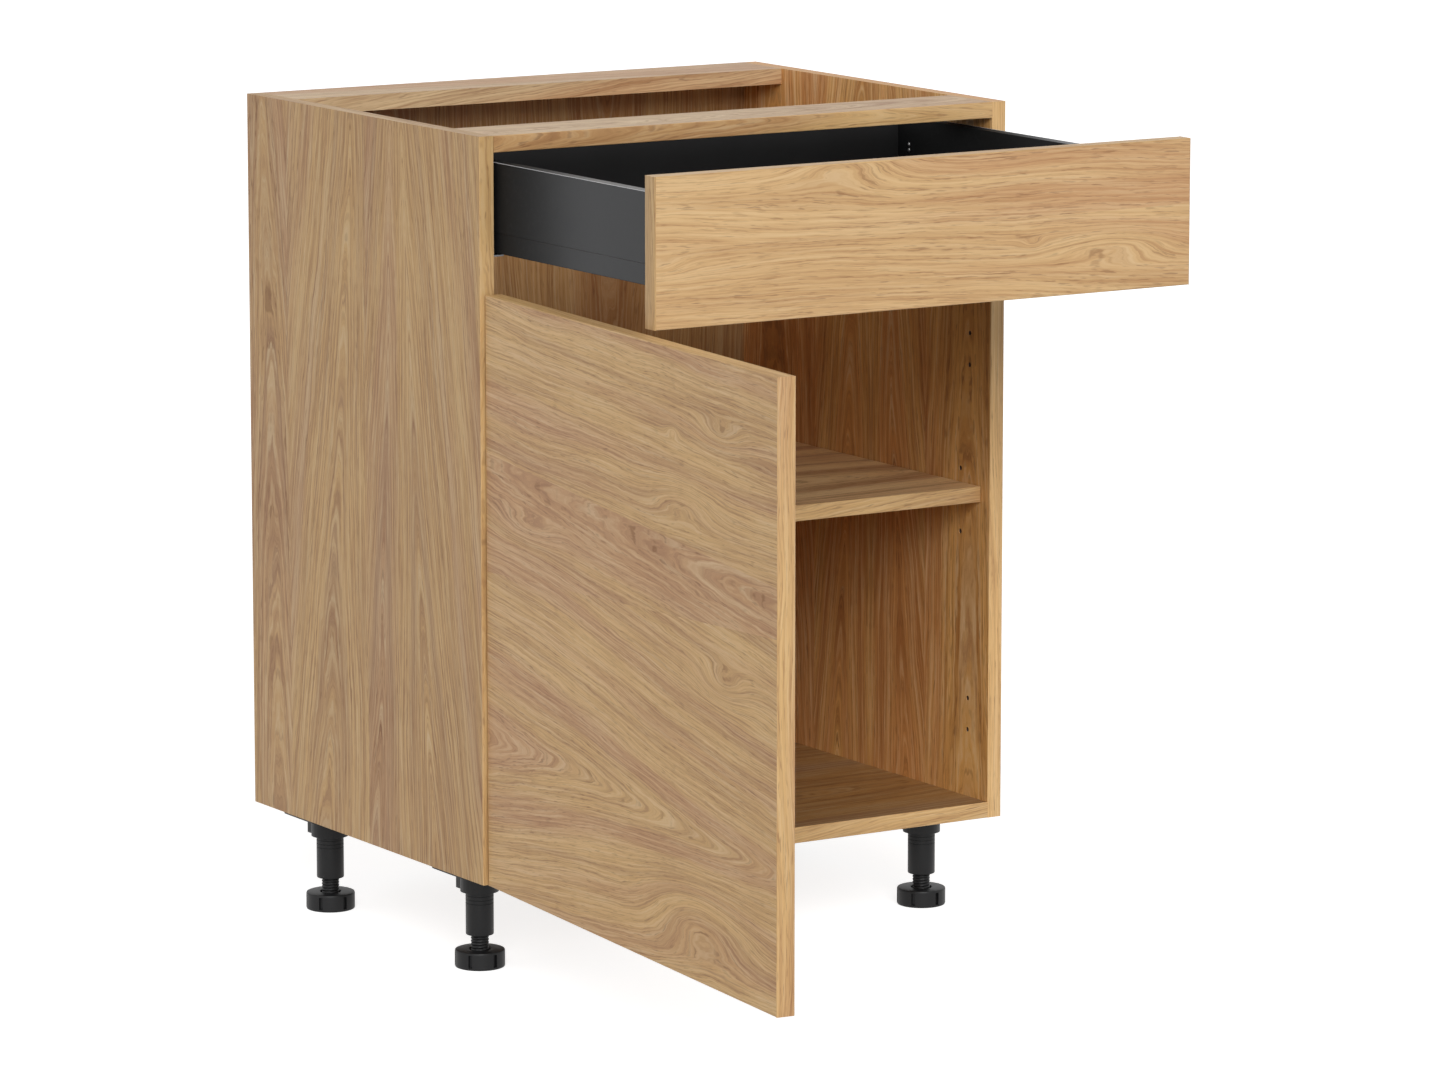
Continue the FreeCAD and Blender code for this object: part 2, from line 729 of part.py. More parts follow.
cup_screws = []
for index, height in enumerate(hinge_heights):
    for step in (-1, 1):
        start = (cup_centre_x + wing_offset, front_rear_face, height + step * cup_screw_pitch / 2)
        title = f"cup_screw_{index}_{step + 1}"
        shank = peg(f"{title}_shank", bracket_screw_radius, bracket_screw_length, start, "-Y")
        head = rod(f"{title}_head", bracket_screw_head_radius, bracket_screw_head,
                   (start[0], front_rear_face + cup_flange, start[2]), "+Y")
        neck = peg(f"{title}_neck", bracket_screw_radius, cup_flange, start, "+Y")
        cup_screws.append(fused(title, [shank, neck, head]))
posed("hinge_cup_screws", cup_screws, door_pose)

# The pin spans the chord of the cup at the pivot and ends in the cup's wall
pivot_from_cup_centre = float(cup_radius + cup_edge_distance - cup_pivot_across)
half_chord = math.sqrt(float(cup_radius - cup_wall) ** 2 - pivot_from_cup_centre ** 2)
cup_pins = []
for index, height in enumerate(hinge_heights):
    pin = document.addObject("Part::Feature", f"cup_pin_{index}")
    reach = half_chord + float(cup_wall) / 2
    pin.Shape = Part.makeCylinder(float(hinge_pin_radius), reach * 2,
                                  cup_pivot + FreeCAD.Vector(0, 0, float(height) - reach))
    cup_pins.append(pin)
posed("hinge_cup_pins", cup_pins, door_pose)


# Hinge links: goosenecks that bend round the rim of the door

# Corners of the centre line, as shares of the step from cup pivot to arm pivot
link_bend_shares = ((0.0, 0.0), (0.62, -0.045), (0.807, -0.020), (0.875, 0.115), (0.895, 0.45), (1.0, 1.0))


def hinge_link(index, height):
    """Sweep the gooseneck's width about its centre line and bore the two eyes."""
    span = arm_pivot - cup_pivot
    corners = [cup_pivot + FreeCAD.Vector(span.x * across, span.y * along, 0)
               for across, along in link_bend_shares]
    at_cup, bend_start, bend_middle, bend_end, knee, at_arm = corners
    straight_in = Part.LineSegment(at_cup, bend_start)
    bend = Part.Arc(bend_start, bend_middle, bend_end)
    rise = Part.LineSegment(bend_end, knee)
    straight_out = Part.LineSegment(knee, at_arm)
    path = Part.Wire([edge.toShape() for edge in (straight_in, bend, rise, straight_out)])
    strap = path.makeOffset2D(float(link_thickness) / 2, 0, False, False)
    width = FreeCAD.Vector(0, 0, float(link_width))
    solid = Part.Face(strap).extrude(width)
    for pivot in (cup_pivot, arm_pivot):
        solid = solid.fuse(Part.makeCylinder(float(eye_radius), float(link_width), pivot))
    for pivot in (cup_pivot, arm_pivot):
        bore = Part.makeCylinder(float(hinge_pin_radius + running_gap), float(link_width), pivot)
        solid = solid.cut(bore)
    link = document.addObject("Part::Feature", f"hinge_link_{index}")
    link.Shape = solid.removeSplitter()
    link.Placement = FreeCAD.Placement(FreeCAD.Vector(0, 0, float(height - link_width / 2)),
                                       FreeCAD.Rotation())
    return link


links = [hinge_link(index, height) for index, height in enumerate(hinge_heights)]
posed("hinge_links", links, link_pose)


# Hinge arms and plates on the left side panel

ear_inner = link_width / 2 + ear_gap
ear_outer = ear_inner + ear_thickness
arm_start = front_plane + arm_pivot_in - ear_margin


def hinge_arm(index, height):
    """Make the arm, a channel whose two ears carry the pivot pin."""
    base, rise = across_span(LEFT, arm_pivot_across - ear_margin, arm_rise)
    stock = block(f"arm_stock_{index}", (rise, arm_length, ear_outer * 2),
                  (base, arm_start, height - ear_outer))
    channel = block(f"arm_channel_{index}",
                    (rise - ear_thickness + cut_overrun, arm_length + cut_overrun * 2, ear_inner * 2),
                    (base - cut_overrun, arm_start - cut_overrun, height - ear_inner))
    nose = block(f"arm_nose_{index}",
                 (ear_thickness + cut_overrun, nose_length + cut_overrun, ear_inner * 2),
                 (base + rise - ear_thickness, arm_start - cut_overrun, height - ear_inner))
    return carved(f"hinge_arm_{index}", stock, [channel, nose])


def hinge_plate(index, height):
    """Make the cross-shaped plate: wings for the screws and a spine that the arm sits over."""
    low, rise = across_span(LEFT, zero, plate_thickness)
    line = front_plane + plate_hole_distance
    wing_reach = hole_pitch / 2 + plate_wing_margin
    wings = block(f"plate_wings_{index}", (rise, plate_wing_width, wing_reach * 2),
                  (low, line - plate_wing_width / 2, height - wing_reach))
    low, rise = across_span(LEFT, zero, spine_rise)
    spine_half = ear_inner - ear_gap
    spine = block(f"plate_spine_{index}", (rise, spine_length, spine_half * 2),
                  (low, front_plane + spine_start, height - spine_half))
    tools = [rod(f"plate_bore_{index}_{step + 1}", plate_screw_radius + bore_clearance,
                 plate_thickness + cut_overrun * 2,
                 (inward(LEFT, -cut_overrun), line, height + step * hole_pitch / 2), "+X")
             for step in (-1, 1)]
    return carved(f"hinge_plate_{index}", fused(f"plate_blank_{index}", [wings, spine]), tools)


arms = [hinge_arm(index, height) for index, height in enumerate(hinge_heights)]
node("hinge_arms", bundle("hinge_arms", arms))
plates = [hinge_plate(index, height) for index, height in enumerate(hinge_heights)]
node("hinge_plates", bundle("hinge_plates", plates))

plate_screws = []
arm_pins = []
arm_screws = []
for index, height in enumerate(hinge_heights):
    line = front_plane + plate_hole_distance
    for step in (-1, 1):
        title = f"plate_screw_{index}_{step + 1}"
        spot = height + step * hole_pitch / 2
        shank = peg(f"{title}_shank", plate_screw_radius,
                    plate_hole_depth - bore_spare + plate_thickness,
                    (inward(LEFT, bore_spare - plate_hole_depth), line, spot), "+X")
        head = rod(f"{title}_head", plate_screw_head_radius, plate_screw_head,
                   (inward(LEFT, plate_thickness), line, spot), "+X")
        plate_screws.append(fused(title, [shank, head]))
    arm_pins.append(rod(f"arm_pin_{index}", hinge_pin_radius, ear_outer * 2,
                        (inward(LEFT, arm_pivot_across), front_plane + arm_pivot_in,
                         height - ear_outer), "+Z"))
    arm_screws.append(rod(f"arm_screw_{index}", arm_screw_radius, arm_rise - ear_thickness - spine_rise,
                          (inward(LEFT, spine_rise), front_plane + spine_start + spine_length / 2,
                           height), "+X"))
node("hinge_plate_screws", bundle("hinge_plate_screws", plate_screws))
node("hinge_arm_pins", bundle("hinge_arm_pins", arm_pins))
node("hinge_arm_screws", bundle("hinge_arm_screws", arm_screws))


# Drawer, made closed and then pulled out

WHOLE_SHARE = 1.0
MIDDLE_SHARE = 0.5


def pulled(name, pieces, share):
    """Group drawer pieces and draw the group out by a share of the drawer's pull."""
    group = bundle(name, pieces)
    group.setExpression("Placement.Base.y", (-drawer_pull * share).text)
    return node(name, group)


drawer_board, drawer_bands = framed_front("drawer_front", drawer_front_height, drawer_front_bottom)
pulled("drawer_front", [drawer_board], WHOLE_SHARE)
pulled("drawer_front_edge_bands", drawer_bands, WHOLE_SHARE)
drawer_bumpers = [rod(f"drawer_bumper_{SIDE_NAMES[side]}", bumper_radius, bumper_thickness,
                      (side * bumper_x, front_rear_face, drawer_front_bottom + board), "+Y")
                  for side in (LEFT, RIGHT)]
pulled("drawer_bumpers", drawer_bumpers, WHOLE_SHARE)


def profile_body(label, side, points, rear, length):
    """Pad a profile, drawn in distances from the side panel, forward from its rear end."""
    body = new_body(f"{label}_body")
    drawn = outline(body, f"{label}_profile", "XZ_Plane",
                    [(inward(side, distance), height) for distance, height in points])
    padded(body, drawn, f"{label}_pad", length)
    place(body, (zero, rear, zero))
    return body


side_outer = side_clearance
side_inner = side_clearance + side_thickness
lip_edge = core_distance - runner_gap - runner_wall - runner_gap - runner_wall


def drawer_side_profile():
    """Give the folded double wall: plain outer skin with a step, flat top, inner skin and lip."""
    low = drawer_side_bottom
    step = low + step_height
    top = drawer_side_top
    gauge = sheet_thickness
    return [
        (side_outer, top), (side_outer, step), (side_outer + step_depth, step - step_depth),
        (side_outer + step_depth, low), (side_outer + step_depth + gauge, low),
        (side_outer + step_depth + gauge, step - step_depth), (side_outer + gauge, step),
        (side_outer + gauge, top - gauge), (side_inner - gauge, top - gauge),
        (side_inner - gauge, lip_top), (lip_edge, lip_top), (lip_edge, lip_top - lip_thickness),
        (side_inner, lip_top - lip_thickness), (side_inner, top),
    ]


web_top = drawer_side_bottom - runner_drop
core_top = web_top + core_rise
middle_top = core_top + runner_gap + runner_wall
member_top = lip_top - lip_thickness
support_top = drawer_side_bottom + rest_gap


def cabinet_member_profile():
    """Give the fixed rail: screwed plate, web under the drawer side, and upright core."""
    return [
        (zero, web_top - runner_sheet), (zero, web_top - runner_sheet + runner_plate_height),
        (runner_sheet, web_top - runner_sheet + runner_plate_height), (runner_sheet, web_top),
        (core_distance, web_top), (core_distance, core_top),
        (core_distance + runner_sheet, core_top), (core_distance + runner_sheet, web_top - runner_sheet),
    ]


def middle_member_profile():
    """Give the middle rail, a channel that straddles the core."""
    near = core_distance - runner_gap
    far = core_distance + runner_sheet + runner_gap
    low = drawer_side_bottom
    return [
        (near - runner_wall, low), (near - runner_wall, middle_top), (far + runner_wall, middle_top),
        (far + runner_wall, low), (far, low), (far, middle_top - runner_wall),
        (near, middle_top - runner_wall), (near, low),
    ]


def drawer_member_profile():
    """Give the drawer's rail: it straddles the middle rail and carries the drawer bottom."""
    near = core_distance - runner_gap - runner_wall - runner_gap
    far = core_distance + runner_sheet + runner_gap + runner_wall + runner_gap
    low = support_top - runner_wall
    return [
        (near - runner_wall, drawer_side_bottom + step_depth), (near - runner_wall, member_top),
        (far + runner_wall, member_top), (far + runner_wall, support_top),
        (far + support_reach, support_top), (far + support_reach, low), (far, low),
        (far, member_top - runner_wall), (near, member_top - runner_wall),
        (near, drawer_side_bottom + step_depth),
    ]


runner_screw_height = web_top + runner_screw_rise
runner_rear = front_plane + runner_setback + runner_length
first_screw = front_plane + runner_screw_first
last_screw = runner_rear - runner_screw_last
runner_screw_places = [first_screw, (first_screw + last_screw) / 2, last_screw]
middle_rear = front_plane + middle_setback + middle_length
for side in (LEFT, RIGHT):
    hand = SIDE_NAMES[side]
    profile = drawer_side_profile()
    wall = profile_body(f"drawer_side_{hand}", side, profile, drawer_rear, side_length)
    pulled(f"drawer_side_{hand}", [wall], WHOLE_SHARE)
    profile = drawer_member_profile()
    member = profile_body(f"runner_drawer_{hand}", side, profile, drawer_rear, side_length)
    pulled(f"runner_drawer_{hand}", [member], WHOLE_SHARE)
    profile = middle_member_profile()
    middle = profile_body(f"runner_middle_{hand}", side, profile, middle_rear, middle_length)
    pulled(f"runner_middle_{hand}", [middle], MIDDLE_SHARE)
    profile = cabinet_member_profile()
    rail = profile_body(f"runner_cabinet_{hand}", side, profile, runner_rear, runner_length)
    bores = circles(rail, f"runner_bores_outline_{hand}", "YZ_Plane",
                    [(along - runner_rear, runner_screw_height) for along in runner_screw_places],
                    runner_screw_radius + bore_clearance, inward(side, runner_sheet))
    pocketed(rail, bores, f"runner_bores_{hand}", runner_sheet + cut_overrun, side == RIGHT)
    node(f"runner_cabinet_{hand}", rail)

runner_screws = []
for side in (LEFT, RIGHT):
    direction = "-X" if side == LEFT else "+X"
    for step, along in enumerate(runner_screw_places):
        title = f"runner_screw_{SIDE_NAMES[side]}_{step}"
        height = runner_screw_height
        shank = peg(f"{title}_shank", runner_screw_radius, runner_screw_length + runner_sheet,
                    (inward(side, runner_sheet), along, height), direction)
        head = rod(f"{title}_head", runner_screw_head_radius, runner_screw_head,
                   (inward(side, runner_sheet + runner_screw_head), along, height), direction)
        runner_screws.append(fused(title, [shank, head]))
node("runner_screws", bundle("runner_screws", runner_screws))

drawer_half = inner_half - side_inner
drawer_floor = support_top + drawer_bottom_thickness
bottom_half = drawer_half - bore_clearance
pulled("drawer_bottom", [block("drawer_bottom_board",
                               (bottom_half * 2, side_length, drawer_bottom_thickness),
                               (-bottom_half, front_rear_face, support_top))], WHOLE_SHARE)
back_front = drawer_rear - drawer_back_thickness
pulled("drawer_back", [block("drawer_back_board",
                             (bottom_half * 2, drawer_back_thickness, drawer_side_top - drawer_floor),
                             (-bottom_half, back_front, drawer_floor))], WHOLE_SHARE)

front_screw_shares = (0.2, 0.8)
back_screw_shares = (0.25, 0.75)
front_brackets = []
back_brackets = []
front_screws = []
back_screws = []
for side in (LEFT, RIGHT):
    hand = SIDE_NAMES[side]
    near = side_outer + sheet_thickness + step_depth + bracket_margin
    far = side_inner - sheet_thickness - bracket_margin
    low, width = across_span(side, near, far)
    bracket_low = lip_top + bracket_margin
    bracket_high = drawer_side_top - sheet_thickness - bracket_margin
    stock = block(f"front_bracket_{hand}", (width, bracket_length, bracket_high - bracket_low),
                  (low, front_rear_face, bracket_low))
    front_brackets.append(stock)
    for step, share in enumerate(front_screw_shares):
        height = bracket_low + (bracket_high - bracket_low) * share
        middle = inward(side, (near + far) / 2)
        front_screws.append(peg(f"front_screw_{hand}_{step}", bracket_screw_radius, bracket_screw_length,
                                (middle, front_rear_face, height), "-Y"))
    low, width = across_span(side, side_outer, side_inner + back_plate_reach)
    plate = block(f"back_plate_{hand}", (width, back_plate_thickness, drawer_side_top - lip_top),
                  (low, drawer_rear, lip_top))
    bores = [rod(f"back_plate_bore_{hand}_{step}", bracket_screw_radius + bore_clearance,
                 back_plate_thickness + cut_overrun * 2,
                 (inward(side, side_inner + back_plate_reach / 2), drawer_rear - cut_overrun,
                  lip_top + (drawer_side_top - lip_top) * share), "+Y")
             for step, share in enumerate(back_screw_shares)]
    back_brackets.append(carved(f"back_bracket_{hand}", plate, bores))
    for step, share in enumerate(back_screw_shares):
        height = lip_top + (drawer_side_top - lip_top) * share
        title = f"back_screw_{hand}_{step}"
        spot = inward(side, side_inner + back_plate_reach / 2)
        shank = peg(f"{title}_shank", bracket_screw_radius, bracket_screw_length + back_plate_thickness,
                    (spot, drawer_rear + back_plate_thickness, height), "-Y")
        head = rod(f"{title}_head", bracket_screw_head_radius, bracket_screw_head,
                   (spot, drawer_rear + back_plate_thickness, height), "+Y")
        back_screws.append(fused(title, [shank, head]))
pulled("drawer_front_brackets", front_brackets, WHOLE_SHARE)
pulled("drawer_back_brackets", back_brackets, WHOLE_SHARE)
pulled("drawer_front_screws", front_screws, WHOLE_SHARE)
pulled("drawer_back_screws", back_screws, WHOLE_SHARE)


# Legs: a socket screwed under the bottom, a tube pushed on it, and a screw foot

leg_places = {
    "front_left": (-cabinet_width / 2 + leg_side_inset, front_plane + leg_front_inset),
    "front_right": (cabinet_width / 2 - leg_side_inset, front_plane + leg_front_inset),
    "rear_left": (-cabinet_width / 2 + leg_side_inset, -leg_rear_inset),
    "rear_right": (cabinet_width / 2 - leg_side_inset, -leg_rear_inset),
}
tube_top = carcass_bottom - socket_plate
spindle_top = carcass_bottom - spindle_top_drop


def leg_socket(label, spot):
    """Make the socket: rounded plate, stub inside the tube, collar round it and latch lug."""
    plate = block(f"{label}_plate", (socket_width, socket_length, socket_plate),
                  (-socket_width / 2, -socket_length / 2, -socket_plate))
    rounded = document.addObject("Part::Fillet", f"{label}_rounded")
    rounded.Base = plate
    document.recompute()
    upright_edges = [number for number, edge in enumerate(plate.Shape.Edges, start=1)
                     if round(edge.tangentAt(edge.FirstParameter).z)]
    rounded.Edges = [(number, float(socket_corner), float(socket_corner)) for number in upright_edges]
    stub = rod(f"{label}_stub", stub_radius, stub_length, (zero, zero, -socket_plate), "-Z")
    wall = rod(f"{label}_collar_wall", collar_radius, collar_drop, (zero, zero, -socket_plate), "-Z")
    lug = block(f"{label}_lug", (lug_width, lug_reach, collar_drop),
                (-lug_width / 2, zero, -socket_plate - collar_drop))
    mouth = rod(f"{label}_collar_mouth", tube_radius + collar_fit, collar_drop + cut_overrun,
                (zero, zero, -socket_plate), "-Z")
    collar = carved(f"{label}_collar", fused(f"{label}_collar_blank", [wall, lug]), [mouth])
    bores = [rod(f"{label}_bore_{step + 1}", leg_screw_radius + bore_clearance,
                 socket_plate + cut_overrun * 2, (zero, step * leg_screw_offset, cut_overrun), "-Z")
             for step in (-1, 1)]
    socket = carved(label, fused(f"{label}_blank", [rounded, stub, collar]), bores)
    place(socket, (spot[0], spot[1], carcass_bottom))
    return socket


def leg_tube(label, spot):
    """Turn the tube, with a seat for the stub and a bore for the spindle."""
    body = new_body(label)
    bore = spindle_radius + spindle_clearance
    seat = stub_radius + stub_fit
    seat_depth = stub_length + rest_gap
    points = [(bore, -tube_length), (tube_radius - tube_chamfer, -tube_length),
              (tube_radius, tube_chamfer - tube_length), (tube_radius, zero),
              (seat, zero), (seat, -seat_depth), (bore, -seat_depth)]
    turned(body, outline(body, f"{label}_profile", "XZ_Plane", points), f"{label}_turned")
    place(body, (spot[0], spot[1], tube_top))
    return body


def foot(label, spot):
    """Turn the spindle and disc and cut the grip slots round the rim."""
    body = new_body(label)
    rise = spindle_top - floor_plane
    edge = disc_radius - disc_rounding
    points = [(zero, zero), (edge, zero), (disc_radius, disc_rounding),
              (disc_radius, disc_height - disc_rounding), (edge, disc_height),
              (disc_recess_radius, disc_height), (disc_recess_radius, disc_height - disc_recess_depth),
              (spindle_radius, disc_height - disc_recess_depth), (spindle_radius, rise), (zero, rise)]
    turned(body, outline(body, f"{label}_profile", "XZ_Plane", points), f"{label}_turned")
    low = (disc_height - slot_height) / 2
    window = rectangle((-slot_width / 2, low), (slot_width / 2, low + slot_height))
    drawn = outline(body, f"{label}_slot_outline", "XZ_Plane", window, disc_radius - slot_depth)
    slot = pocketed(body, drawn, f"{label}_slot", slot_depth + cut_overrun, True)
    ring = body.newObject("PartDesign::PolarPattern", f"{label}_slots")
    ring.Originals = [slot]
    ring.Axis = (origin_feature(body, "Z_Axis"), [""])
    ring.Angle = FULL_TURN
    ring.Occurrences = int(slot_count.number)
    body.Tip = ring
    grip_turn = FreeCAD.Rotation(upright, slot_turn.number)
    body.Placement = FreeCAD.Placement(FreeCAD.Vector(), grip_turn)
    place(body, (spot[0], spot[1], floor_plane))
    return body


leg_screws = []
for corner, spot in leg_places.items():
    node(f"leg_socket_{corner}", leg_socket(f"leg_socket_{corner}", spot))
    node(f"leg_tube_{corner}", leg_tube(f"leg_tube_{corner}", spot))
    node(f"foot_{corner}", foot(f"foot_{corner}", spot))
    for step in (-1, 1):
        title = f"leg_screw_{corner}_{step + 1}"
        along = spot[1] + step * leg_screw_offset
        shank = peg(f"{title}_shank", leg_screw_radius, leg_screw_length + socket_plate,
                    (spot[0], along, carcass_bottom - socket_plate), "+Z")
        head = rod(f"{title}_head", leg_screw_head_radius, leg_screw_head,
                   (spot[0], along, carcass_bottom - socket_plate), "-Z")
        leg_screws.append(fused(title, [shank, head]))
node("leg_screws", bundle("leg_screws", leg_screws))


# Check every object, then write one file for each sub-part

def check_document():
    """Stop where an object failed or a sub-part has no sound solid."""
    document.recompute()
    failed = [thing.Name for thing in document.Objects
              if "Invalid" in thing.State or "Error" in thing.State]
    if failed:
        raise RuntimeError(f"failed objects: {failed}")
    for name, thing in nodes.items():
        shape = thing.Shape
        if shape.isNull() or not shape.isValid() or not shape.Solids:
            raise RuntimeError(f"no sound solid: {name}")


def write_parts():
    """Write the solids of each sub-part under its own name."""
    os.makedirs("parts", exist_ok=True)
    for name, thing in nodes.items():
        solids = thing.Shape.Solids
        shape = solids[0] if len(solids) == 1 else Part.makeCompound(solids)
        shape.exportStep(os.path.join("parts", f"{name}.step"))
        print(f"{name}: {len(solids)} solids, volume {thing.Shape.Volume:.0f}")


check_document()
write_parts()
print("arm pivot", arm_pivot)
print("cup pivot with the door open", open_cup_pivot)
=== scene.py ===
import logging
import math
from dataclasses import dataclass
from enum import Enum
from functools import lru_cache
from typing import Callable, Iterable, NamedTuple, Optional, Protocol, Sequence, Union

import bmesh
import bpy
from mathutils import Matrix, Vector


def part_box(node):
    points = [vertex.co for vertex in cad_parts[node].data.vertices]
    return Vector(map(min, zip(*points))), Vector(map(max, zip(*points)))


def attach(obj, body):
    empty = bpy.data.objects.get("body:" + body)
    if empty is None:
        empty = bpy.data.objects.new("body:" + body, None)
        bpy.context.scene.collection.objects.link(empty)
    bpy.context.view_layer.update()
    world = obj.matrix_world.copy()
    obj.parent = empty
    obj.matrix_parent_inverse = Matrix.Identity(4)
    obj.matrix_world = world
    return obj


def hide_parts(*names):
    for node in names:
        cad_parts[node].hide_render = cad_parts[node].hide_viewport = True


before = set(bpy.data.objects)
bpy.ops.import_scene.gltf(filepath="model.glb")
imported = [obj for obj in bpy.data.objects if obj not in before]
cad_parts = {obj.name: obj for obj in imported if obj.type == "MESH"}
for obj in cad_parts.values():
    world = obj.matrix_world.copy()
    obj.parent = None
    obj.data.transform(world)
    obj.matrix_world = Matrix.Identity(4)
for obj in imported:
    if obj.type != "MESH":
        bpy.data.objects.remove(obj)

LOG = logging.getLogger("base_cabinet")
Triple = tuple[float, float, float]
Socket = bpy.types.NodeSocket
Value = Union[float, Socket]
Given = Union[Value, Sequence[float]]
Relief = Callable[[float, float, float], tuple[float, float]]
Outline = Sequence[tuple[float, float]]

# Axes of the row frame
X: Triple = (1.0, 0.0, 0.0)
Y: Triple = (0.0, 1.0, 0.0)
Z: Triple = (0.0, 0.0, 1.0)

# Places of the cabinet in the row frame, in metres, and the turn of its door
FLOOR = -0.8202
CUP_PIVOT_CLOSED = Vector((-0.28985, -0.47014, 0.0))
CUP_PIVOT_OPEN = Vector((-0.286132, -0.472070, 0.0))
DOOR_TURN = Matrix.Rotation(-math.radians(95.0), 3, "Z")

# Edges and meshes
BOARD_EDGE = 0.0002
BAND_ROUNDING, BAND_STEPS = 0.00095, 4
BEVEL_ANGLE = math.radians(40.0)
CREASE = math.radians(38.0)
MERGE = 1e-6
WELD_DIGITS = 6

# Outlines of turned pieces: radius and height of each ring, in metres
RIVET = ((0.0022, 0.0), (0.0022, 0.0003), (0.0018, 0.0007), (0.0010, 0.0010), (0.0, 0.0011))
RIVET_REACH, RIVET_ROW, RIVET_HEIGHTS = 0.2670, -0.3380, (-0.0530, -0.0585)
TUBE_END = ((0.00888, 0.0), (0.0127, 0.0), (0.0134, 0.0003), (0.0137, 0.0010))
TUBE_RING = ((0.0137, -0.0009), (0.0132, -0.0008), (0.0132, -0.0001), (0.0137, 0.0))
TUBE_TOP = ((0.0137, -0.0008), (0.0131, 0.0), (0.0106, 0.0), (0.0106, -0.0081),
            (0.00888, -0.0081))
TUBE_RINGS_DOWN = (0.0318, 0.0280, 0.0242)
DISC = ((0.0, 0.0), (0.0230, 0.0), (0.024065, 0.000435), (0.0245, 0.0015), (0.0245, 0.0025),
        (0.0245, 0.00251), (0.0245, 0.01499), (0.0245, 0.0150), (0.0245, 0.0160),
        (0.024065, 0.017065), (0.0230, 0.0175), (0.0112, 0.0175), (0.0106, 0.0169),
        (0.0106, 0.0145), (0.0085, 0.0145))
GRIPPED, GRIP_FLOOR = (0.0025, 0.0150), 0.0219

# The same for a shelf pin, with its radii as shares of its own radius
PIN_COLLAR = ((0.70, 0.0), (1.0, 0.0008), (1.0, 0.0080), (0.90, 0.0083), (1.0, 0.0086))
PIN_TIP = ((1.0, -0.0012), (0.82, -0.0004), (0.45, 0.0))


def linear(red: int, green: int, blue: int) -> Triple:
    """Turn a colour as seen on a screen into the linear colour that a shader takes.

    Args:
        red: Red from 0 to 255.
        green: Green from 0 to 255.
        blue: Blue from 0 to 255.

    Returns:
        The linear colour.
    """
    shares = [channel / 255.0 for channel in (red, green, blue)]
    curve = [share / 12.92 if share <= 0.04045 else ((share + 0.055) / 1.055) ** 2.4
             for share in shares]
    return curve[0], curve[1], curve[2]


class Slot(Enum):
    """Material slots of the record that finishes of added pieces come from."""

    ZINC_ALLOY = "zinc_alloy"
    NICKEL = "nickel_steel"
    SCREW = "screw_steel"
    PLASTIC = "black_plastic"
    RUBBER = "clear_rubber"


class Corner(Enum):
    """Corners of the carcass, each with a leg."""

    FRONT_LEFT = "front_left"
    FRONT_RIGHT = "front_right"
    REAR_LEFT = "rear_left"
    REAR_RIGHT = "rear_right"


# Shader graphs


class Layer(NamedTuple):
    """A layer of noise that is drawn out along the grain.

    Attributes:
        long: Waves for each metre along the grain.
        fine: Waves for each metre across it.
        detail: How many finer layers it has.
        roughness: How strong the finer layers are.
        shift: Moves it away from the other layers.
        reach: How far it moves the lines, in metres.
    """

    long: float
    fine: float
    detail: float = 2.0
    roughness: float = 0.5
    shift: float = 0.0
    reach: float = 0.0


class Step(NamedTuple):
    """How a layer of noise shows in the colour.

    Attributes:
        start: Where it starts to show.
        full: Where it shows in full.
        share: Its share there.
    """

    start: float
    full: float
    share: float = 1.0


